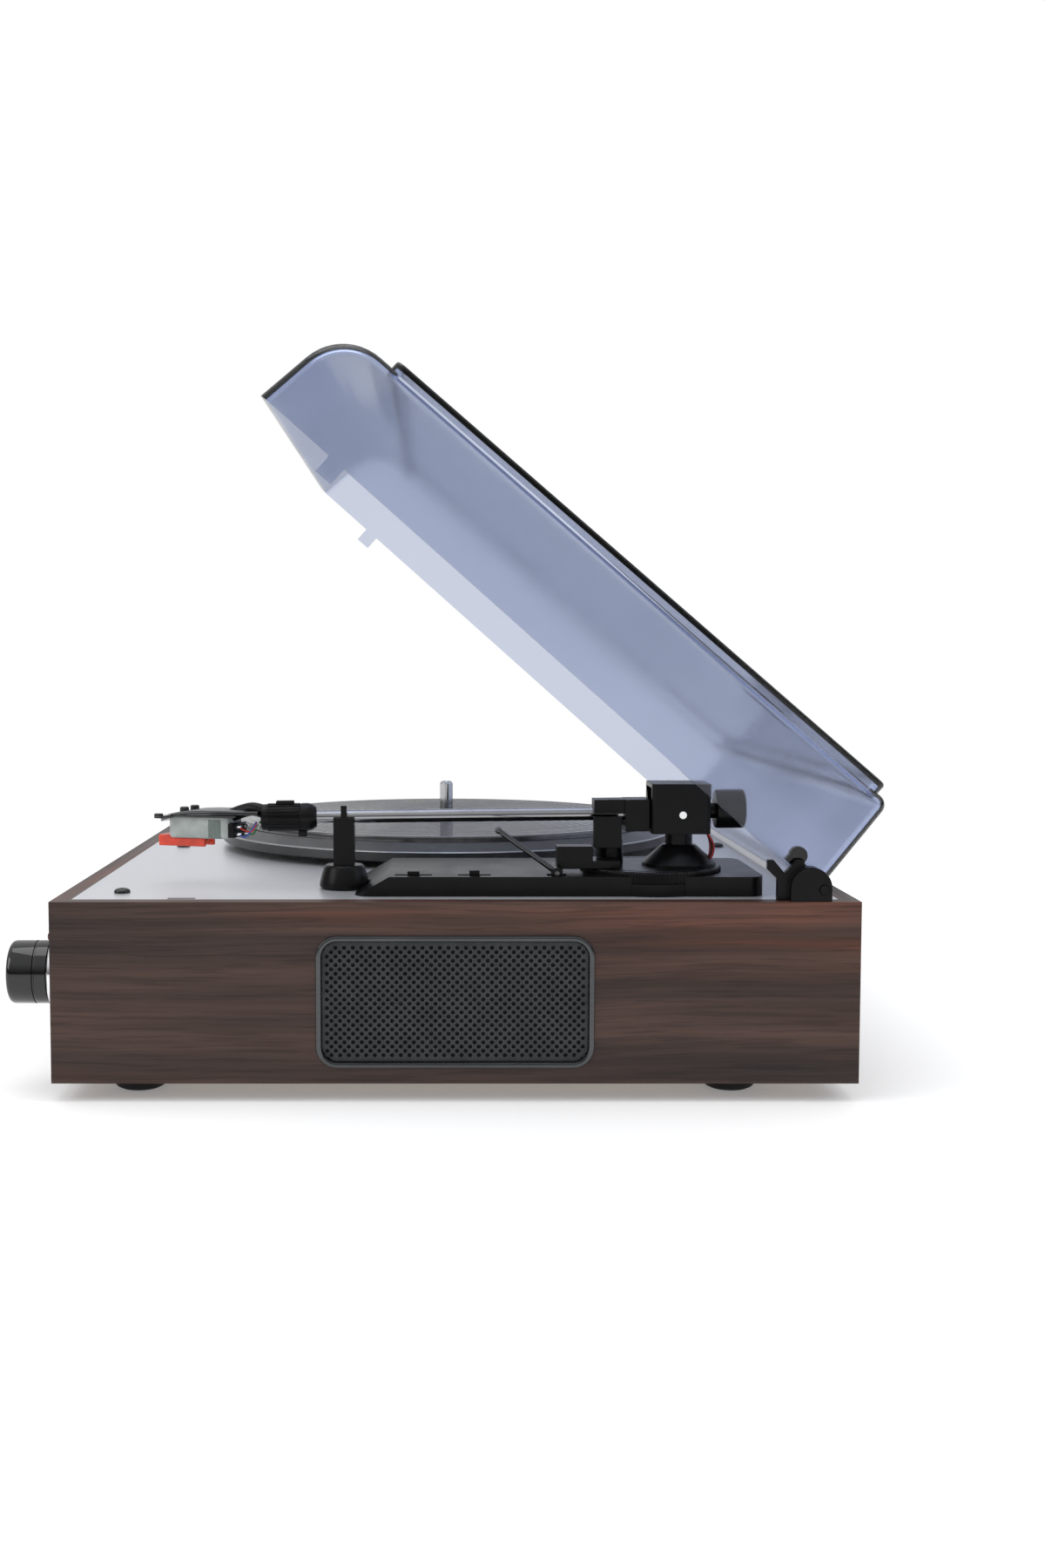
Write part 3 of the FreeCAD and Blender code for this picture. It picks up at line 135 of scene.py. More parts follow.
def make_camera():
    """A camera at the right-hand side, a little above the deck, looking along -X and slightly down."""
    place = (0.912, -0.004, 0.186)
    pitch = math.radians(4.2)
    lens = bpy.data.cameras.new("camera")
    lens.sensor_fit = "VERTICAL"
    lens.sensor_height = 36
    lens.lens = 38.9
    lens.shift_x = 0.0567
    camera = bpy.data.objects.new("camera", lens)
    scene.collection.objects.link(camera)
    camera.location = place
    heading = Vector((-math.cos(pitch), 0, -math.sin(pitch)))
    camera.rotation_euler = heading.to_track_quat("-Z", "Y").to_euler()
    scene.camera = camera


def area_light(name, place, target, size, power):
    """A rectangular soft box that faces its target."""
    lamp = bpy.data.lights.new(name, "AREA")
    lamp.shape = "RECTANGLE"
    lamp.size, lamp.size_y = size
    lamp.energy = power
    holder = bpy.data.objects.new(name, lamp)
    scene.collection.objects.link(holder)
    holder.location = place
    holder.rotation_euler = (Vector(target) - Vector(place)).to_track_quat("-Z", "Y").to_euler()


def make_world():
    """White to the lens and through the cover; as a light, bright overhead and on the far side only."""
    world = bpy.data.worlds.new("studio")
    scene.world = world
    world.use_nodes = True
    tree = world.node_tree
    tree.nodes.clear()
    ray = put(tree, "ShaderNodeLightPath")
    seen = computed(tree, "MAXIMUM", ray.outputs["Is Camera Ray"], ray.outputs["Is Transmission Ray"])
    where = put(tree, "ShaderNodeTexCoord")
    way = put(tree, "ShaderNodeSeparateXYZ", Vector=where.outputs["Generated"])
    overhead = between(tree, way.outputs["Z"], 0.0, 0.7, 0.16, 0.9)
    far_side = between(tree, way.outputs["X"], -0.85, -0.3, 0.8, 0.0)
    lit = put(tree, "ShaderNodeBackground", Color=(0.97, 0.98, 1, 1),
              Strength=computed(tree, "MAXIMUM", overhead, far_side))
    white = put(tree, "ShaderNodeBackground", Color=(1, 1, 1, 1), Strength=1.0)
    out = put(tree, "ShaderNodeOutputWorld")
    tree.links.new(blended(tree, seen, lit, white).outputs[0], out.inputs[0])


def make_floor():
    """A pale floor with a faint gloss, which fades to pure white away from the player."""
    paint = bpy.data.materials.new("pale_floor")
    paint.use_nodes = True
    tree = paint.node_tree
    tree.nodes.clear()
    matt = put(tree, "ShaderNodeBsdfDiffuse", Color=(0.9, 0.9, 0.9, 1))
    gloss = put(tree, "ShaderNodeBsdfGlossy", Color=(0.9, 0.9, 0.9, 1), Roughness=0.12)
    glow = put(tree, "ShaderNodeEmission", Color=(1, 1, 1, 1), Strength=0.22)
    near = put(tree, "ShaderNodeAddShader")
    tree.links.new(blended(tree, 0.045, matt, gloss).outputs[0], near.inputs[0])
    tree.links.new(glow.outputs[0], near.inputs[1])
    where = put(tree, "ShaderNodeTexCoord")
    distance = put(tree, "ShaderNodeVectorMath", {"operation": "LENGTH"}, Vector=where.outputs["Object"])
    away = between(tree, distance.outputs["Value"], 0.35, 1.3, 0, 1)
    far = put(tree, "ShaderNodeEmission", Color=(1, 1, 1, 1), Strength=1.0)
    out = put(tree, "ShaderNodeOutputMaterial")
    tree.links.new(blended(tree, away, near, far).outputs[0], out.inputs["Surface"])
    reach = 40
    corners = [(-reach, -reach, 0), (reach, -reach, 0), (reach, reach, 0), (-reach, reach, 0)]
    mesh = bpy.data.meshes.new("floor")
    mesh.from_pydata(corners, [], [(0, 1, 2, 3)])
    mesh.materials.append(paint)
    floor = bpy.data.objects.new("floor", mesh)
    scene.collection.objects.link(floor)


def make_studio():
    """The surroundings, the floor and three soft boxes."""
    scene.view_settings.view_transform = "Standard"
    make_world()
    make_floor()
    area_light("overhead", (0.1, -0.2, 1.9), (0, 0, 0), (1.4, 1.4), 11)
    area_light("front_box", (0.9, -1.5, 0.9), (0, -0.1, 0.1), (0.8, 1.0), 7)
    area_light("rear_box", (0.5, 1.7, 0.9), (0, 0.1, 0.1), (1.0, 1.0), 4)


# ---------------------------------------------------------------- materials

def base_material(name, **sockets):
    """A Principled material whose sockets are set by name."""
    paint = bpy.data.materials.new(name)
    paint.use_nodes = True
    tree = paint.node_tree
    shader = tree.nodes["Principled BSDF"]
    for key, value in sockets.items():
        shader.inputs[key.replace("_", " ")].default_value = value
    return paint, tree, shader


def object_space(tree, stretch=(1, 1, 1)):
    """Coordinates fixed to the object, in metres, squeezed along each axis."""
    where = put(tree, "ShaderNodeTexCoord")
    return put(tree, "ShaderNodeMapping", Vector=where.outputs["Object"], Scale=stretch).outputs[0]


def noise(tree, space, scale, detail=3.0, rough=0.5):
    """Soft noise between 0 and 1, mostly from 0.3 to 0.7."""
    return put(tree, "ShaderNodeTexNoise", Vector=space, Scale=scale, Detail=detail,
               Roughness=rough).outputs["Fac"]


def mixed_colour(tree, factor, first, second, mode="MIX"):
    """A blend of two colours, each given as a triple or a socket."""
    node = tree.nodes.new("ShaderNodeMix")
    node.data_type = "RGBA"
    node.blend_type = mode
    for socket, value in zip((node.inputs[0], node.inputs[6], node.inputs[7]), (factor, first, second)):
        if isinstance(value, bpy.types.NodeSocket):
            tree.links.new(value, socket)
        elif isinstance(value, (tuple, list)):
            socket.default_value = (*value, 1)
        else:
            socket.default_value = value
    return node.outputs[2]


def bumped(tree, shader, height, strength, depth):
    """Small relief on the surface; the depth is in metres."""
    bump = put(tree, "ShaderNodeBump", Height=height, Strength=strength, Distance=depth)
    tree.links.new(bump.outputs[0], shader.inputs["Normal"])


def shaded(tree, colour, factor):
    """The colour multiplied by a factor that varies over the surface."""
    grey = put(tree, "ShaderNodeCombineColor", Red=factor, Green=factor, Blue=factor).outputs[0]
    return mixed_colour(tree, 1.0, colour, grey, "MULTIPLY")


def moulded(name, colour, rough, grain=1400, depth=0.00005, spread=0.06, **sockets):
    """Moulded plastic or rubber: a fine skin, patchy gloss and a slight change of shade."""
    paint, tree, shader = base_material(name, **sockets)
    space = object_space(tree)
    patches = noise(tree, space, 45, 4)
    gloss = between(tree, patches, 0.3, 0.7, rough - spread, rough + spread)
    tree.links.new(gloss, shader.inputs["Roughness"])
    tone = between(tree, noise(tree, space, 160, 3), 0.3, 0.7, 0.85, 1.15)
    tree.links.new(shaded(tree, colour, tone), shader.inputs["Base Color"])
    bumped(tree, shader, noise(tree, space, grain, 2), 0.35, depth)
    return paint


def metal(name, colour, rough, stretch=(1, 1, 1), grain=900, depth=0.00001):
    """Metal with fine marks that run along the squeezed axis."""
    paint, tree, shader = base_material(name, Metallic=1.0)
    marks = noise(tree, object_space(tree, stretch), grain, 3)
    patches = noise(tree, object_space(tree), 30, 3)
    tree.links.new(between(tree, marks, 0.3, 0.7, rough * 0.7, rough * 1.4), shader.inputs["Roughness"])
    tone = between(tree, patches, 0.3, 0.7, 0.9, 1.05)
    tree.links.new(shaded(tree, colour, tone), shader.inputs["Base Color"])
    bumped(tree, shader, marks, 0.3, depth)
    return paint


def veneer(name, axis):
    """Dark walnut veneer whose grain runs along one horizontal axis."""
    paint, tree, shader = base_material(name, Coat_Weight=0.1, Coat_Roughness=0.3, Specular_IOR_Level=0.25)

    def grain(along, across):
        """Squeezes the noise along the grain."""
        return (along, across, across) if axis == "X" else (across, along, across)

    def streaks(along, across, scale, detail, rough=0.55):
        """Noise drawn out along the grain, which wanders a little."""
        space = put(tree, "ShaderNodeMapping", Vector=shifted.outputs[0], Scale=grain(along, across))
        return noise(tree, space.outputs[0], scale, detail, rough)

    wander = noise(tree, object_space(tree, grain(1.0, 1.0)), 7, 2)
    where = put(tree, "ShaderNodeTexCoord")
    shifted = put(tree, "ShaderNodeVectorMath", {"operation": "MULTIPLY_ADD"})
    tree.links.new(wander, shifted.inputs[0])
    shifted.inputs[1].default_value = (0.004, 0.004, 0.008)
    tree.links.new(where.outputs["Object"], shifted.inputs[2])
    bands = streaks(0.035, 1.0, 60, 5)
    lines = streaks(0.018, 1.0, 260, 4, 0.6)
    pores = streaks(0.03, 1.0, 900, 2)
    dark = (0.032, 0.020, 0.017)
    brown = (0.087, 0.048, 0.037)
    red = (0.25, 0.066, 0.026)
    colour = mixed_colour(tree, between(tree, bands, 0.32, 0.68, 0, 1), dark, brown)
    flames = between(tree, streaks(0.10, 1.0, 18, 3), 0.48, 0.7, 0, 1)
    fine_flames = between(tree, streaks(0.03, 1.0, 110, 3), 0.4, 0.7, 0.1, 0.8)
    colour = mixed_colour(tree, computed(tree, "MULTIPLY", flames, fine_flames), colour, red)
    colour = shaded(tree, colour, between(tree, lines, 0.3, 0.7, 0.72, 1.2))
    colour = shaded(tree, colour, between(tree, pores, 0.36, 0.5, 0.7, 1.0))
    tree.links.new(colour, shader.inputs["Base Color"])
    tree.links.new(between(tree, lines, 0.3, 0.7, 0.42, 0.56), shader.inputs["Roughness"])
    bumped(tree, shader, pores, 0.25, 0.00008)
    return paint


def raw_board(name):
    """Bare pressed board: pale brown chips of many tones."""
    paint, tree, shader = base_material(name, Roughness=0.85, Specular_IOR_Level=0.2)
    space = object_space(tree)
    chips = noise(tree, space, 380, 5, 0.7)
    brown, pale = (0.17, 0.105, 0.058), (0.42, 0.29, 0.17)
    colour = mixed_colour(tree, between(tree, chips, 0.3, 0.7, 0, 1), brown, pale)
    tree.links.new(colour, shader.inputs["Base Color"])
    bumped(tree, shader, chips, 0.4, 0.0002)
    return paint


def foil(name):
    """Silver-grey deck foil with a soft brushed sheen."""
    paint, tree, shader = base_material(name, Metallic=0.5, Coat_Weight=0.2, Coat_Roughness=0.25)
    brush = noise(tree, object_space(tree, (0.03, 1, 1)), 2600, 3)
    patches = noise(tree, object_space(tree), 9, 3)
    tone = between(tree, brush, 0.3, 0.7, 0.97, 1.02)
    tree.links.new(shaded(tree, (0.63, 0.64, 0.665), tone), shader.inputs["Base Color"])
    tree.links.new(between(tree, patches, 0.3, 0.7, 0.3, 0.36), shader.inputs["Roughness"])
    bumped(tree, shader, brush, 0.1, 0.000004)
    return paint


def smoked(name):
    """Clear smoked acrylic that darkens with the depth of plastic looked through."""
    paint, tree, shader = base_material(name, Transmission_Weight=1.0, IOR=1.49, Base_Color=(1, 1, 1, 1))
    haze = noise(tree, object_space(tree), 12, 4, 0.6)
    tree.links.new(between(tree, haze, 0.35, 0.7, 0.09, 0.15), shader.inputs["Roughness"])
    tint = put(tree, "ShaderNodeVolumeAbsorption", Color=(0.03, 0.16, 0.48, 1), Density=205.0)
    tree.links.new(tint.outputs[0], tree.nodes["Material Output"].inputs["Volume"])
    return paint


def circuit(name):
    """Green solder mask with faint tracks."""
    paint, tree, shader = base_material(name, Roughness=0.35)
    tracks = put(tree, "ShaderNodeTexVoronoi", {"distance": "MANHATTAN"}, Vector=object_space(tree),
                 Scale=120.0)
    shade = between(tree, tracks.outputs["Distance"], 0.3, 0.5, 0, 1)
    colour = mixed_colour(tree, shade, (0.01, 0.085, 0.03), (0.02, 0.16, 0.06))
    tree.links.new(colour, shader.inputs["Base Color"])
    bumped(tree, shader, shade, 0.3, 0.00005)
    return paint


def make_materials():
    """Every finish by name; colours are linear."""
    along_y = (1, 0.03, 1)
    return {
        "walnut_veneer": veneer("walnut_veneer", "Y"),
        "walnut_across": veneer("walnut_across", "X"),
        "raw_board": raw_board("raw_board"),
        "deck_foil": foil("deck_foil"),
        "circuit": circuit("circuit"),
        "smoked_clear": smoked("smoked_clear"),
        "black_rubber": moulded("black_rubber", (0.016, 0.016, 0.016), 0.6, 900, 0.0001,
                                Specular_IOR_Level=0.3),
        "mat_rubber": moulded("mat_rubber", (0.05, 0.05, 0.053), 0.16, 2500, 0.000001, 0.02,
                              Specular_IOR_Level=1.0),
        "black_screw": moulded("black_screw", (0.01, 0.01, 0.011), 0.32, 1800, 0.00003),
        "black_plastic": moulded("black_plastic", (0.004, 0.004, 0.0045), 0.3, 2200, 0.000003, 0.03,
                                 Specular_IOR_Level=0.16),
        "gloss_black": moulded("gloss_black", (0.002, 0.002, 0.0025), 0.07, 700, 0.000001, 0.02,
                               Coat_Weight=0.25, Coat_Roughness=0.04),
        "grille_steel": moulded("grille_steel", (0.034, 0.037, 0.038), 0.5, 1800, 0.000015,
                                Specular_IOR_Level=0.3),
        "cone_paper": moulded("cone_paper", (0.02, 0.02, 0.021), 0.8, 700, 0.0002),
        "lamp_lens": moulded("lamp_lens", (0.09, 0.008, 0.006), 0.15, 500, 0.00001, 0.03, Coat_Weight=0.6),
        "cast_platter": moulded("cast_platter", (0.03, 0.03, 0.032), 0.34, 1700, 0.00003,
                                Specular_IOR_Level=0.6),
        "cartridge_shell": moulded("cartridge_shell", (0.42, 0.46, 0.44), 0.3, 1500, 0.00002),
        "cartridge_band": moulded("cartridge_band", (0.16, 0.20, 0.18), 0.3, 1500, 0.00002),
        "red_guard": moulded("red_guard", (0.78, 0.06, 0.03), 0.3, 1500, 0.00002, 0.05,
                             Subsurface_Weight=0.1),
        "white_ring": moulded("white_ring", (0.75, 0.75, 0.72), 0.35),
        "red_ring": moulded("red_ring", (0.55, 0.03, 0.025), 0.35),
        "wire_red": moulded("wire_red", (0.45, 0.02, 0.02), 0.4),
        "wire_white": moulded("wire_white", (0.72, 0.72, 0.7), 0.4),
        "wire_green": moulded("wire_green", (0.03, 0.22, 0.06), 0.4),
        "wire_blue": moulded("wire_blue", (0.03, 0.07, 0.35), 0.4),
        "screw_steel": metal("screw_steel", (0.55, 0.54, 0.52), 0.32),
        "motor_steel": metal("motor_steel", (0.6, 0.6, 0.6), 0.35, (1, 1, 0.05)),
        "brass_part": metal("brass_part", (0.75, 0.52, 0.22), 0.25),
        "grey_metal": metal("grey_metal", (0.085, 0.088, 0.09), 0.2, along_y),
        "head_grey": metal("head_grey", (0.16, 0.165, 0.17), 0.3, along_y),
        "bright_chrome": metal("bright_chrome", (0.86, 0.87, 0.88), 0.09, along_y, 700, 0.000003),
        "dark_chrome": metal("dark_chrome", (0.10, 0.10, 0.105), 0.2),
        "tube_chrome": metal("tube_chrome", (0.30, 0.30, 0.31), 0.16, along_y),
        "spindle_chrome": metal("spindle_chrome", (0.5, 0.5, 0.51), 0.07),
    }


def paint_nodes(finishes):
    """Every CAD node takes the finish of its record slot, but for the few that show another metal."""
    across = {"front_wall", "back_wall"}
    for name, thing in frame["nodes"].items():
        for holder in thing.material_slots:
            holder.material = finishes["walnut_across" if name in across else SLOTS[name]]
    for name, finish in NODE_FINISHES:
        frame["nodes"][name].material_slots[0].material = finishes[finish]


# ---------------------------------------------------------------- shape building

def merged(target, source, shift=Matrix(), tint=0):
    """Adds a temporary mesh to the gathered one, moved and with one material index."""
    source.transform(shift)
    for face in source.faces:
        face.material_index = tint
    holder = bpy.data.meshes.new("step")
    source.to_mesh(holder)
    source.free()
    target.from_mesh(holder)
    bpy.data.meshes.remove(holder)


def rounded_outline(half_wide, half_tall, radius, steps=10):
    """Points of a rounded rectangle about the origin, anticlockwise."""
    points = []
    for sign_u, sign_v, start in ((1, 1, 0), (-1, 1, 90), (-1, -1, 180), (1, -1, 270)):
        for index in range(steps + 1):
            angle = math.radians(start + 90 * index / steps)
            points.append((sign_u * (half_wide - radius) + radius * math.cos(angle),
                           sign_v * (half_tall - radius) + radius * math.sin(angle)))
    return points


class Shape:
    """Geometry gathered in millimetres, in a frame of its own."""

    def __init__(self, place=Matrix()):
        self.mesh = bmesh.new()
        self.place = place

    def rings(self, rings, closed=False, tint=0, shift=Matrix()):
        """Skins a row of equal rings of points; the ends are capped unless the row closes on itself."""
        step = bmesh.new()
        made = [[step.verts.new(point) for point in ring] for ring in rings]
        pairs = list(zip(made, made[1:])) + ([(made[-1], made[0])] if closed else [])
        count = len(rings[0])
        for first, second in pairs:
            for index in range(count):
                after = (index + 1) % count
                step.faces.new((first[index], first[after], second[after], second[index]))
        if not closed:
            step.faces.new(tuple(reversed(made[0])))
            step.faces.new(tuple(made[-1]))
        bmesh.ops.recalc_face_normals(step, faces=step.faces)
        merged(self.mesh, step, shift, tint)

    def turned(self, profile, shift=Matrix(), steps=64, closed=False, tint=0):
        """A solid of revolution about Z from (radius, height) points, inner to outer or in a closed loop."""
        rings = []
        for radius, height in profile:
            rings.append([(radius * math.cos(2 * math.pi * step / steps),
                           radius * math.sin(2 * math.pi * step / steps), height) for step in range(steps)])
        self.rings(rings, closed, tint, shift)

    def block(self, low, high, edge=0.3, shift=Matrix(), tint=0, segments=3):
        """A box with rounded edges."""
        step = bmesh.new()
        bmesh.ops.create_cube(step, size=1)
        middle = (Vector(low) + Vector(high)) / 2
        size = Vector(high) - Vector(low)
        for vert in step.verts:
            vert.co = Vector(place * along for place, along in zip(vert.co, size)) + middle
        if edge:
            bmesh.ops.bevel(step, geom=list(step.edges), offset=edge, segments=segments, profile=0.5,
                            affect="EDGES", clamp_overlap=True)
        merged(self.mesh, step, shift, tint)

    def prism(self, outline, low, high, edge=0.3, shift=Matrix()):
        """An outline in the XY plane drawn out along Z, with rounded edges."""
        step = bmesh.new()
        base = [step.verts.new((u, v, low)) for u, v in outline]
        face = step.faces.new(base)
        raised = bmesh.ops.extrude_face_region(step, geom=[face])
        bmesh.ops.translate(step, vec=(0, 0, high - low),
                            verts=[item for item in raised["geom"] if isinstance(item, bmesh.types.BMVert)])
        bmesh.ops.recalc_face_normals(step, faces=step.faces)
        if edge:
            sharp = [item for item in step.edges if item.calc_face_angle(0) > math.radians(25)]
            bmesh.ops.bevel(step, geom=sharp, offset=edge, segments=2, profile=0.5, affect="EDGES",
                            clamp_overlap=True)
        merged(self.mesh, step, shift)

    def wire(self, points, radius, steps=10, tint=0):
        """A round wire along a smooth line through the points."""
        spans = 24
        knots = [Vector(point) for point in points]
        knots = [2 * knots[0] - knots[1]] + knots + [2 * knots[-1] - knots[-2]]
        line = []
        for index in range(1, len(knots) - 2):
            a, b, c, d = knots[index - 1:index + 3]
            for step in range(spans):
                t = step / spans
                line.append(0.5 * ((2 * b) + (c - a) * t + (2 * a - 5 * b + 4 * c - d) * t ** 2
                                   + (3 * b - a - 3 * c + d) * t ** 3))
        line.append(knots[-2])
        side = (line[1] - line[0]).orthogonal().normalized()
        rings = []
        for index, point in enumerate(line):
            ahead = (line[min(index + 1, len(line) - 1)] - line[max(index - 1, 0)]).normalized()
            side = (side - ahead * side.dot(ahead)).normalized()
            up = ahead.cross(side)
            rings.append([point + radius * (side * math.cos(2 * math.pi * k / steps)
                                            + up * math.sin(2 * math.pi * k / steps)) for k in range(steps)])
        self.rings(rings, tint=tint)

    def piece(self, name, body, finishes, replaces=(), sharp=32):
        """The finished object, in metres, riding on its body."""
        self.mesh.transform(self.place @ Matrix.Scale(MM, 4))
        mesh = bpy.data.meshes.new(name)
        self.mesh.to_mesh(mesh)
        self.mesh.free()
        mesh.polygons.foreach_set("use_smooth", [True] * len(mesh.polygons))
        mesh.set_sharp_from_angle(angle=math.radians(sharp))
        for finish in finishes if isinstance(finishes, (list, tuple)) else [finishes]:
            mesh.materials.append(finish)
        thing = bpy.data.objects.new(name, mesh)
        scene.collection.objects.link(thing)
        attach(thing, body)
        if replaces:
            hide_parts(*replaces)


def softened(node, width, finish):
    """The CAD node's own shape with its hard edges rounded, standing in for the node."""
    mesh = frame["nodes"][node].data.copy()
    shape = bmesh.new()
    shape.from_mesh(mesh)
    bmesh.ops.remove_doubles(shape, verts=shape.verts, dist=0.000002)
    bmesh.ops.dissolve_limit(shape, angle_limit=math.radians(0.5), verts=shape.verts, edges=shape.edges)
    clean = bpy.data.meshes.new(f"{node}_soft")
    shape.to_mesh(clean)
    shape.free()
    bpy.data.meshes.remove(mesh)
    clean.materials.clear()
    clean.materials.append(finish)
    clean.polygons.foreach_set("material_index", [0] * len(clean.polygons))
    clean.polygons.foreach_set("use_smooth", [True] * len(clean.polygons))
    if "custom_normal" in clean.attributes:
        clean.attributes.remove(clean.attributes["custom_normal"])
    thing = bpy.data.objects.new(f"{node}_soft", clean)
    scene.collection.objects.link(thing)
    bevel = thing.modifiers.new("edges", "BEVEL")
    bevel.width = width * MM
    bevel.segments = 2
    bevel.limit_method = "ANGLE"
    bevel.angle_limit = math.radians(30)
    bevel.use_clamp_overlap = True
    bevel.miter_outer = "MITER_ARC"
    even = thing.modifiers.new("normals", "WEIGHTED_NORMAL")
    even.weight = 80
    bpy.context.view_layer.update()
    done = bpy.data.meshes.new_from_object(thing.evaluated_get(bpy.context.evaluated_depsgraph_get()))
    thing.modifiers.clear()
    thing.data = done
    bpy.data.meshes.remove(clean)
    done.name = f"{node}_soft"
    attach(thing, BODIES[node])
    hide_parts(node)


def facing(axis, at):
    """A frame whose Z axis points along the given direction."""
    turn = Vector(axis).to_track_quat("Z", "Y").to_matrix().to_4x4()
    return Matrix.Translation(Vector(at)) @ turn


def ribbed_rings(profile, ribs, per_rib, sunk, centre=(0, 0)):
    """Rings from (radius, height, ribbed); where ribbed, half of each rib's points are sunk."""
    steps = ribs * per_rib
    rings = []
    for radius, height, ribbed in profile:
        ring = []
        for step in range(steps):
            angle = 2 * math.pi * step / steps
            reach = radius - (sunk if ribbed and step % per_rib >= per_rib // 2 else 0)
            ring.append((centre[0] + reach * math.cos(angle), centre[1] + reach * math.sin(angle), height))
        rings.append(ring)
    return rings


# ---------------------------------------------------------------- speakers

def bezel_plan():
    """Centre along Y and Z, half length and half height of the speaker opening, from the CAD bezel."""
    low, high, middle = extent("speaker_bezels")
    return middle.y, middle.z, (high.y - low.y) / 2, (high.z - low.z) / 2


def make_bezels(finish):
    """The rounded metal frame round each speaker opening."""
    along, middle, half_long, half_tall = bezel_plan()
    corner, back, face = 9, 207, 210
    profile = [(0, back), (0, face + 0.3), (0.2, face + 0.72), (0.65, face + 1), (1.5, face + 1),
               (2.1, face + 0.8), (2.5, face + 0.3), (2.6, face - 0.3), (2.6, back)]
    shape = Shape()
    for sign in SIDES:
        rings = []
        for inset, out in profile:
            outline = rounded_outline(half_long - inset, half_tall - inset, corner - inset, 12)
            rings.append([(sign * out, along + u, middle + v) for u, v in outline])
        shape.rings(rings, closed=True)
    shape.piece("bezel_frames", "plinth", finish, ["speaker_bezels"])


def close_borders(mesh, thick):
    """Joins the free edges of a sheet's two faces with a wall."""
    matching = {}
    for edge in mesh.edges:
        if len(edge.link_faces) == 1:
            ends = tuple(sorted((round(vert.co.y, 5), round(vert.co.z, 5)) for vert in edge.verts))
            matching.setdefault((edge.verts[0].co.x > 0, ends), []).append(edge)
    for pair in matching.values():
        if len(pair) == 2:
            first, second = pair[0].verts, pair[1].verts
            if (first[0].co - second[0].co).length > 1.5 * thick:
                second = (second[1], second[0])
            mesh.faces.new((first[0], first[1], second[1], second[0]))


def make_grilles(finish):
    """Steel sheets with staggered round holes, one hole in every second square cell."""
    along, middle, half_long, half_tall = bezel_plan()
    bezel_lip, tuck, front, thick = 2.6, 0.6, 208.8, 1.0
    pitch, hole, hole_sides, plain_rim = 3.65, 0.92, 8, 2.2
    cell = pitch / 2
    across = int((half_long - bezel_lip) / cell) + 1
    up = int((half_tall - bezel_lip) / cell) + 1
    corner = 6.4 + tuck
    limit_u = half_long - bezel_lip + tuck
    limit_v = half_tall - bezel_lip + tuck
    around_cell = ((2, 1), (2, 2), (1, 2), (0, 2), (0, 1), (0, 0), (1, 0), (2, 0))

    def inside(u, v, margin=0.0):
        """Whether a place is on the sheet, and this far from its rounded corners."""
        du = max(abs(u) - (limit_u - corner), 0)
        dv = max(abs(v) - (limit_v - corner), 0)
        return math.hypot(du, dv) <= corner - margin and abs(u) <= limit_u and abs(v) <= limit_v

    def grid_vert(spot, level):
        """The shared vertex at a half-cell grid spot of one face of the sheet."""
        if (spot, level) not in known:
            known[spot, level] = mesh.verts.new((levels[level], along + spot[0] * cell / 2,
                                                 middle + spot[1] * cell / 2))
        return known[spot, level]

    def hole_rim(u, v, level):
        """The vertices round a hole on one face of the sheet."""
        angles = [2 * math.pi * step / hole_sides for step in range(hole_sides)]
        return [mesh.verts.new((levels[level], along + u + hole * math.cos(angle),
                                middle + v + hole * math.sin(angle))) for angle in angles]

    mesh = bmesh.new()
    for sign in SIDES:
        levels = [sign * front, sign * (front - thick)]
        known = {}
        for row in range(-up, up):
            for column in range(-across, across):
                u, v = (column + 0.5) * cell, (row + 0.5) * cell
                if not inside(u, v):
                    continue
                spots = [(2 * column + du, 2 * row + dv) for du, dv in around_cell]
                outer, inner = [[grid_vert(spot, level) for spot in spots] for level in (0, 1)]
                if (row + column) % 2 or not inside(u, v, plain_rim):
                    mesh.faces.new(outer)
                    mesh.faces.new(list(reversed(inner)))
                    continue
                bore, bore_end = [hole_rim(u, v, level) for level in (0, 1)]
                for step in range(hole_sides):
                    after = (step + 1) % hole_sides
                    mesh.faces.new((outer[step], outer[after], bore[after], bore[step]))
                    mesh.faces.new((inner[after], inner[step], bore_end[step], bore_end[after]))
                    mesh.faces.new((bore[step], bore[after], bore_end[after], bore_end[step]))
    close_borders(mesh, thick)
    bmesh.ops.recalc_face_normals(mesh, faces=mesh.faces)
    shape = Shape()
    merged(shape.mesh, mesh)
    shape.piece("perforated_grilles", "plinth", finish, ["speaker_grilles"])


def make_shade_screens(finish):
    """A thin black sheet behind each grille, which hides the speaker from view: painted shade standing in
    for the dark inside of the speaker opening.
    """
    along, middle, half_long, half_tall = bezel_plan()
    gap, corner, back, thick = 2.8, 6.2, 207.1, 0.4
    outline = rounded_outline(half_long - gap, half_tall - gap, corner)
    shape = Shape()
    for sign in SIDES:
        # Painted shade: a black sheet behind the holes stands in for the shadow inside each speaker opening.
        shape.prism(outline, 0, thick, 0, facing((sign, 0, 0), (sign * back, along, middle)))
    shape.piece("shade_screens", "plinth", finish)


# ---------------------------------------------------------------- front controls

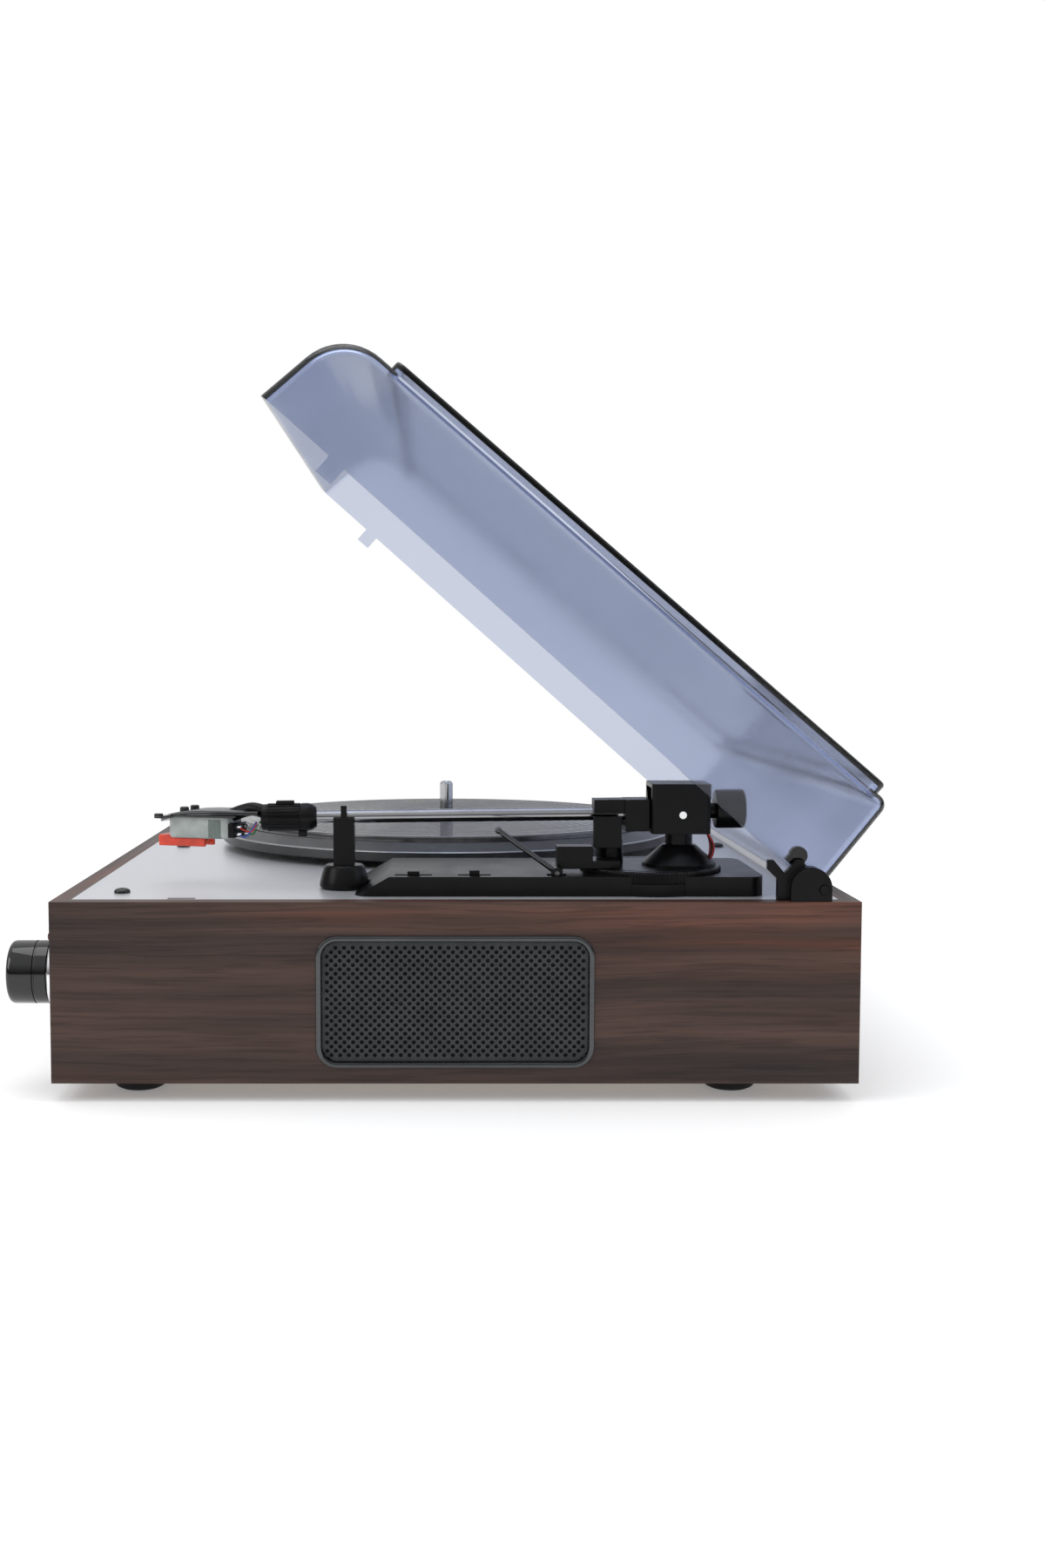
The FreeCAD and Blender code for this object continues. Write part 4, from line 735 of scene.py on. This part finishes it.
def make_knob(finishes):
    """The gloss knob with its groove and white pointer line, and the bright ring behind it."""
    low, _, middle = extent("volume_knob")
    ring_front = extent("knob_ring")[0].y
    back_gap, radius, shaft = 0.4, 13.75, 3
    deep = ring_front - back_gap - low.y
    knob = Shape(facing((0, 1, 0), (middle.x * MM, low.y * MM, middle.z * MM)))
    knob.turned([(0.01, 0.35), (8.5, 0.35), (10.6, 0.2), (11.6, 0), (12.4, 0.12), (13.1, 0.6),
                 (13.55, 1.3), (radius, 2.4), (radius, 11.2), (13.3, 11.5), (13.3, 12.1), (radius, 12.4),
                 (radius, deep - 0.4), (13.4, deep), (shaft, deep), (shaft, deep + 24)], steps=128)
    knob.block((2.5, -0.5, 0.0), (11.2, 0.5, 0.8), 0.2, tint=1)
    knob.piece("gloss_knob", "volume_knob", [finishes["gloss_black"], finishes["wire_white"]],
               ["volume_knob"])
    ring = Shape(facing((0, 1, 0), (middle.x * MM, ring_front * MM, middle.z * MM)))
    ring.turned([(4.6, 0.6), (13.9, 0.6), (14.2, 0.2), (14.7, 0), (15.1, 0.4), (15.2, 1), (15.2, 4.5),
                 (4.6, 4.5)], steps=128, closed=True)
    ring.piece("knob_trim", "plinth", finishes["bright_chrome"], ["knob_ring"])


def screw_dome(radius):
    """A domed screw head at the origin, with a cross recess pressed into it."""
    rings, steps = 26, 72
    rim, dome, depth = 0.75, 1.35, 0.85
    arm_long, arm_half, ramp = 1.75, 0.42, 0.3
    head = bmesh.new()
    rows = []
    for ring in range(1, rings + 1):
        reach = radius * ring / rings
        row = []
        for index in range(steps):
            angle = 2 * math.pi * index / steps
            u, v = reach * math.cos(angle), reach * math.sin(angle)
            height = rim + dome * math.sqrt(max(0, 1 - (reach / radius) ** 2.6))
            across, along = sorted((abs(u), abs(v)))
            if along < arm_long and across < arm_half:
                height -= depth * min(1, (arm_long - along) / ramp)
            row.append(head.verts.new((u, v, height)))
        rows.append(row)
    hub = head.verts.new((0, 0, rim + dome - depth))
    foot = [head.verts.new((vert.co.x, vert.co.y, 0)) for vert in rows[-1]]
    for index in range(steps):
        after = (index + 1) % steps
        head.faces.new((hub, rows[0][index], rows[0][after]))
        for inner, outer in zip(rows, rows[1:] + [foot]):
            head.faces.new((inner[index], outer[index], outer[after], inner[after]))
    head.faces.new(list(reversed(foot)))
    bmesh.ops.recalc_face_normals(head, faces=head.faces)
    return head


def make_deck_screws(finish):
    """The screws of the deck board, each turned to its own angle."""
    columns, rows, radius = (-181.4, 0, 181.4), (-139.3, 149.3), 3.5
    shank = [(0.01, 69), (0.8, 69.2), (1.6, 72), (1.6, DECK_TOP)]
    shape = Shape()
    for x in columns:
        for y in rows:
            turn = Matrix.Rotation(math.radians(17 + x + 2 * y), 4, "Z")
            merged(shape.mesh, screw_dome(radius), Matrix.Translation((x, y, DECK_TOP)) @ turn)
            shape.turned(shank, Matrix.Translation((x, y, 0)), 16)
    shape.piece("deck_screw_heads", "plinth", finish, ["deck_screws"])


# ---------------------------------------------------------------- platter

def make_mat(finish):
    """The ribbed rubber mat, with a plain sunk ring under the label; the ribs are finer near its rim."""
    low, high, middle = extent("platter_mat")
    base, top, radius, bore = low.z, high.z, 112.5, 3.7
    outer_rib, inner_rib, groove, slope = 109.5, 40, 0.32, 0.3
    profile = [(bore, base), (radius, base), (radius, top - 0.9), (radius - 0.15, top - 0.45),
               (radius - 0.5, top - 0.1), (radius - 1, top), (outer_rib, top)]
    reach = outer_rib
    while reach > inner_rib:
        rib = 0.95 if 94 < reach < 100 else 1.9
        profile += [(reach - slope, top - groove), (reach - rib + slope, top - groove), (reach - rib, top),
                    (reach - 2 * rib, top)]
        reach -= 2 * rib
    profile += [(38, top), (37.7, top - 0.35), (20, top - 0.35), (19.7, top), (bore, top)]
    mat = Shape()
    mat.turned(profile, Matrix.Translation((middle.x, middle.y, 0)), steps=192, closed=True)
    mat.piece("ribbed_mat", "platter", finish, ["platter_mat"], sharp=50)


def make_platter_trim(finishes):
    """The turned bright edge of the platter, and nine dark blocks sunk almost flush into the mat: painted
    shade standing in for the mat's recessed slots.
    """
    middle = extent("platter")[2]
    centre = Matrix.Translation((middle.x, middle.y, 0))
    radius, edge = 122, 93.3
    trim = Shape()
    trim.turned([(radius - 1.0, edge - 0.1), (radius - 0.02, edge - 0.1), (radius, edge + 0.05),
                 (radius - 0.15, edge + 0.2), (radius - 1.0, edge + 0.55)], centre, steps=192, closed=True)
    trim.piece("platter_bright_edge", "platter", finishes["tube_chrome"])
    # Painted shade: dark rubber blocks just under the mat's top stand in for the shadowed slots in the mat.
    shade_block_count, inner, outer, half_wide = 9, 95.6, 98.2, 4.6
    mat_top = extent("platter_mat")[1].z
    slot_shade_blocks = Shape()
    for index in range(shade_block_count):
        turn = Matrix.Rotation(2 * math.pi * (index + 0.25) / shade_block_count, 4, "Z")
        slot_shade_blocks.block((inner, -half_wide, mat_top - 0.6), (outer, half_wide, mat_top - 0.02), 0.25,
                   centre @ turn)
    slot_shade_blocks.piece("mat_slot_shades", "platter", finishes["black_rubber"])


# ---------------------------------------------------------------- arm and sockets

def make_arm_base(finish):
    """The round base with fine upright ribs under its top edge."""
    low, high, middle = extent("arm_base")
    base, top, radius, core = low.z, high.z, 31, 0.1
    profile = ((radius, base, 0), (radius, top - 5.2, 0), (radius - 0.45, top - 5.0, 0),
               (radius, top - 4.8, 1), (radius, top - 0.7, 1), (radius - 0.35, top - 0.35, 1),
               (radius - 0.9, top, 0), (radius - 3.6, top, 0), (radius - 3.9, top - 0.25, 0),
               (radius - 5.2, top - 0.25, 0), (radius - 5.5, top, 0), (core, top, 0), (core, top - 3, 0),
               (radius - 3, top - 3, 0), (radius - 3, base, 0))
    shape = Shape()
    rings = ribbed_rings(profile, ribs=132, per_rib=4, sunk=0.42, centre=(middle.x, middle.y))
    shape.rings(rings, closed=True)
    shape.piece("ribbed_arm_base", "plinth", finish, ["arm_base"])


def arm_place():
    """The arm's own frame at its pivot: -Y towards the head, drooping a little."""
    droop = math.radians(0.65)
    return Matrix.Translation(ARM_PIVOT * MM) @ Matrix.Rotation(droop, 4, "X")


def head_place():
    """The head's frame at the front end of the arm tube, turned towards the spindle."""
    offset_angle = math.radians(-22)
    return arm_place() @ Matrix.Translation((0, -HEAD_REACH * MM, 0)) @ Matrix.Rotation(offset_angle, 4, "Z")


def make_collar(finish):
    """The locking collar with its lengthwise grip ribs, the neck in front of it, and two small catches."""
    front = -(HEAD_REACH + 0.5) * MM
    collar = Shape(arm_place() @ facing((0, 1, 0), (0, front, 0)))
    profile = ((0.01, 0, 0), (5.2, 0, 0), (5.8, 0.5, 0), (5.9, 2.6, 0), (6.2, 3.0, 1), (6.2, 17, 1),
               (5.9, 17.4, 0), (6.2, 17.8, 0), (6.2, 20.6, 0), (5.7, 22.4, 0), (4.4, 24.3, 0),
               (2.95, 24.5, 0))
    collar.rings(ribbed_rings(profile, ribs=22, per_rib=6, sunk=0.5))
    collar.piece("grip_collar", "arm", finish, ["head_collar"])
    neck = Shape(head_place())
    neck.wire([(0, -15, 0.9), (0, -10, 2.6), (0, -5, 3.6), (0, 0, 2.6), (0, 3.5, 0.6)], 3.0, 20)
    neck.piece("head_neck", "arm", finish)
    catches = Shape(arm_place())
    catches.block((-2, -178, 5.6), (2, -170, 7.4), 0.5)
    catches.block((-1.6, -168.5, -8.6), (1.6, -164.5, -5.4), 0.6)
    catches.piece("collar_catches", "arm", finish)


def plank(shape, stations, thick, inset=0.0, rise=0.0, tint=0):
    """A thin board through stations of (place along Y, half width, height of its top)."""
    rings = []
    for along, half, top in stations:
        outline = rounded_outline(half - inset, thick / 2, thick * 0.42, 4)
        rings.append([(u, along, top + rise - thick / 2 + v) for u, v in outline])
    shape.rings(rings, tint=tint)


def make_headshell(finishes):
    """The thin head with its grey top, dipping nose, side skirts, finger lift and two screws."""
    stations = [(0.5, 6.2, 3), (-6, 7.6, 3), (-10, 9.2, 3), (-26, 9.2, 3), (-33, 9.2, 2.7),
                (-39, 9.2, 1.9), (-44, 8.9, 0.8), (-47, 7.6, -0.1), (-48.6, 6.0, -0.7), (-49, 5.0, -0.9)]
    shell = Shape(head_place())
    plank(shell, stations, 1.7)
    plank(shell, stations[1:-1], 0.5, inset=0.9, rise=0.25, tint=1)
    for sign in SIDES:
        skirt = [(sign * 7.7, -9), (sign * 9.1, -9), (sign * 9.1, -40), (sign * 7.7, -38)]
        shell.prism(skirt, 0.2, 1.6, 0.15)
    shell.block((8, -44.2, 0.2), (19, -40.6, 1.1), 0.4)
    shell.block((16.6, -44.2, 0.4), (19, -40.6, 2.4), 0.5)
    for x in (4.6, -4.6):
        shell.turned([(0.01, 4.4), (1.5, 4.35), (2.0, 4.0), (2.1, 2.0), (0.01, 1.95)],
                     Matrix.Translation((x, -37, 0)), 32, tint=2)
    shell.piece("thin_headshell", "arm",
                [finishes[name] for name in ("gloss_black", "head_grey", "black_screw")], ["headshell"])


def make_cartridge(finishes):
    """The pale cartridge body, its clip band, and the black terminal block with four bright pins."""
    body = Shape(head_place())
    body.block((-6.8, -44, -9.6), (6.8, -14, 0.6), 1.3, segments=4)
    body.block((-7.1, -24, -9.4), (7.1, -17.5, -1.0), 0.6, tint=1)
    body.block((-6.2, -14.6, -9.0), (6.2, -11.4, -2.6), 0.5, tint=2)
    for x, z in PIN_PLACES:
        body.turned([(0.01, 0), (0.6, 0.05), (0.6, 4.2), (0.01, 4.3)], facing((0, 1, 0), (x, -13.4, z)), 16,
                    tint=3)
    skins = ("cartridge_shell", "cartridge_band", "black_plastic", "bright_chrome")
    body.piece("cartridge_body", "arm", [finishes[name] for name in skins], ["cartridge"])


def make_leads(finishes):
    """Four leads from the collar to the cartridge's pins with bright clips, and three behind the yoke."""
    wires = Shape(head_place())
    bows = (1.6, 1.0, 2.6, 2.0)
    tints = (0, 2, 1, 3)
    for (x, z), bow, tint in zip(PIN_PLACES, bows, tints):
        wires.wire([(x * 0.5, -2.2, -2.6 + 0.25 * tint), (x * 0.8, -4.2, -3.4 - bow),
                    (x, -7.0, z - bow * 0.6), (x, -10.4, z)], 0.42, tint=tint)
        wires.turned([(0.01, 0), (0.8, 0.1), (0.8, 3.0), (0.5, 3.3)], facing((0, 1, 0), (x, -13.6, z)), 16,
                     tint=4)
    colours = ("wire_white", "wire_red", "wire_green", "wire_blue", "bright_chrome")
    wires.piece("head_leads", "arm", [finishes[name] for name in colours])
    rear = Shape(Matrix.Translation((ARM_PIVOT.x * MM, ARM_PIVOT.y * MM, DECK_TOP * MM)))
    for index, x in enumerate((-1.6, 0.2, 1.9)):
        rear.wire([(x, 9.5, 26.2), (x + 0.3, 12.6, 24.2), (x + 0.6, 14.0 + 0.5 * index, 19.5),
                   (x + 1.4, 13.6 + 0.4 * index, 15.0), (x + 1.8, 12.2, 12.2)], 0.45, tint=index)
    colours = ("wire_red", "black_rubber", "wire_red")
    rear.piece("arm_leads", "arm_yoke", [finishes[name] for name in colours])


def make_socket_rings(finishes):
    """The white and red insulating rings round the two line-out sockets."""
    _, high, middle = extent("socket_plate")
    stand_off = 1
    for name, x in (("white_ring", 40), ("red_ring", 60)):
        ring = Shape(facing((0, 1, 0), (x * MM, (high.y + stand_off) * MM, middle.z * MM)))
        ring.turned([(4.2, 0), (5.6, 0), (5.6, 0.7), (5.2, 1.0), (4.2, 1.0)], steps=48, closed=True)
        ring.piece(f"line_{name}", "plinth", finishes[name])


# ---------------------------------------------------------------- build

def build():
    """Lights the frame, paints it and puts the finer pieces over it."""
    make_camera()
    make_studio()
    finishes = make_materials()
    paint_nodes(finishes)
    make_bezels(finishes["grey_metal"])
    make_grilles(finishes["grille_steel"])
    make_shade_screens(finishes["cone_paper"])
    make_knob(finishes)
    make_deck_screws(finishes["black_screw"])
    make_mat(finishes["mat_rubber"])
    make_platter_trim(finishes)
    make_arm_base(finishes["black_plastic"])
    make_collar(finishes["black_plastic"])
    make_headshell(finishes)
    make_cartridge(finishes)
    make_leads(finishes)
    make_socket_rings(finishes)
    for node, width in EDGE_WIDTHS:
        softened(node, width, finishes[SLOTS[node]])


build()
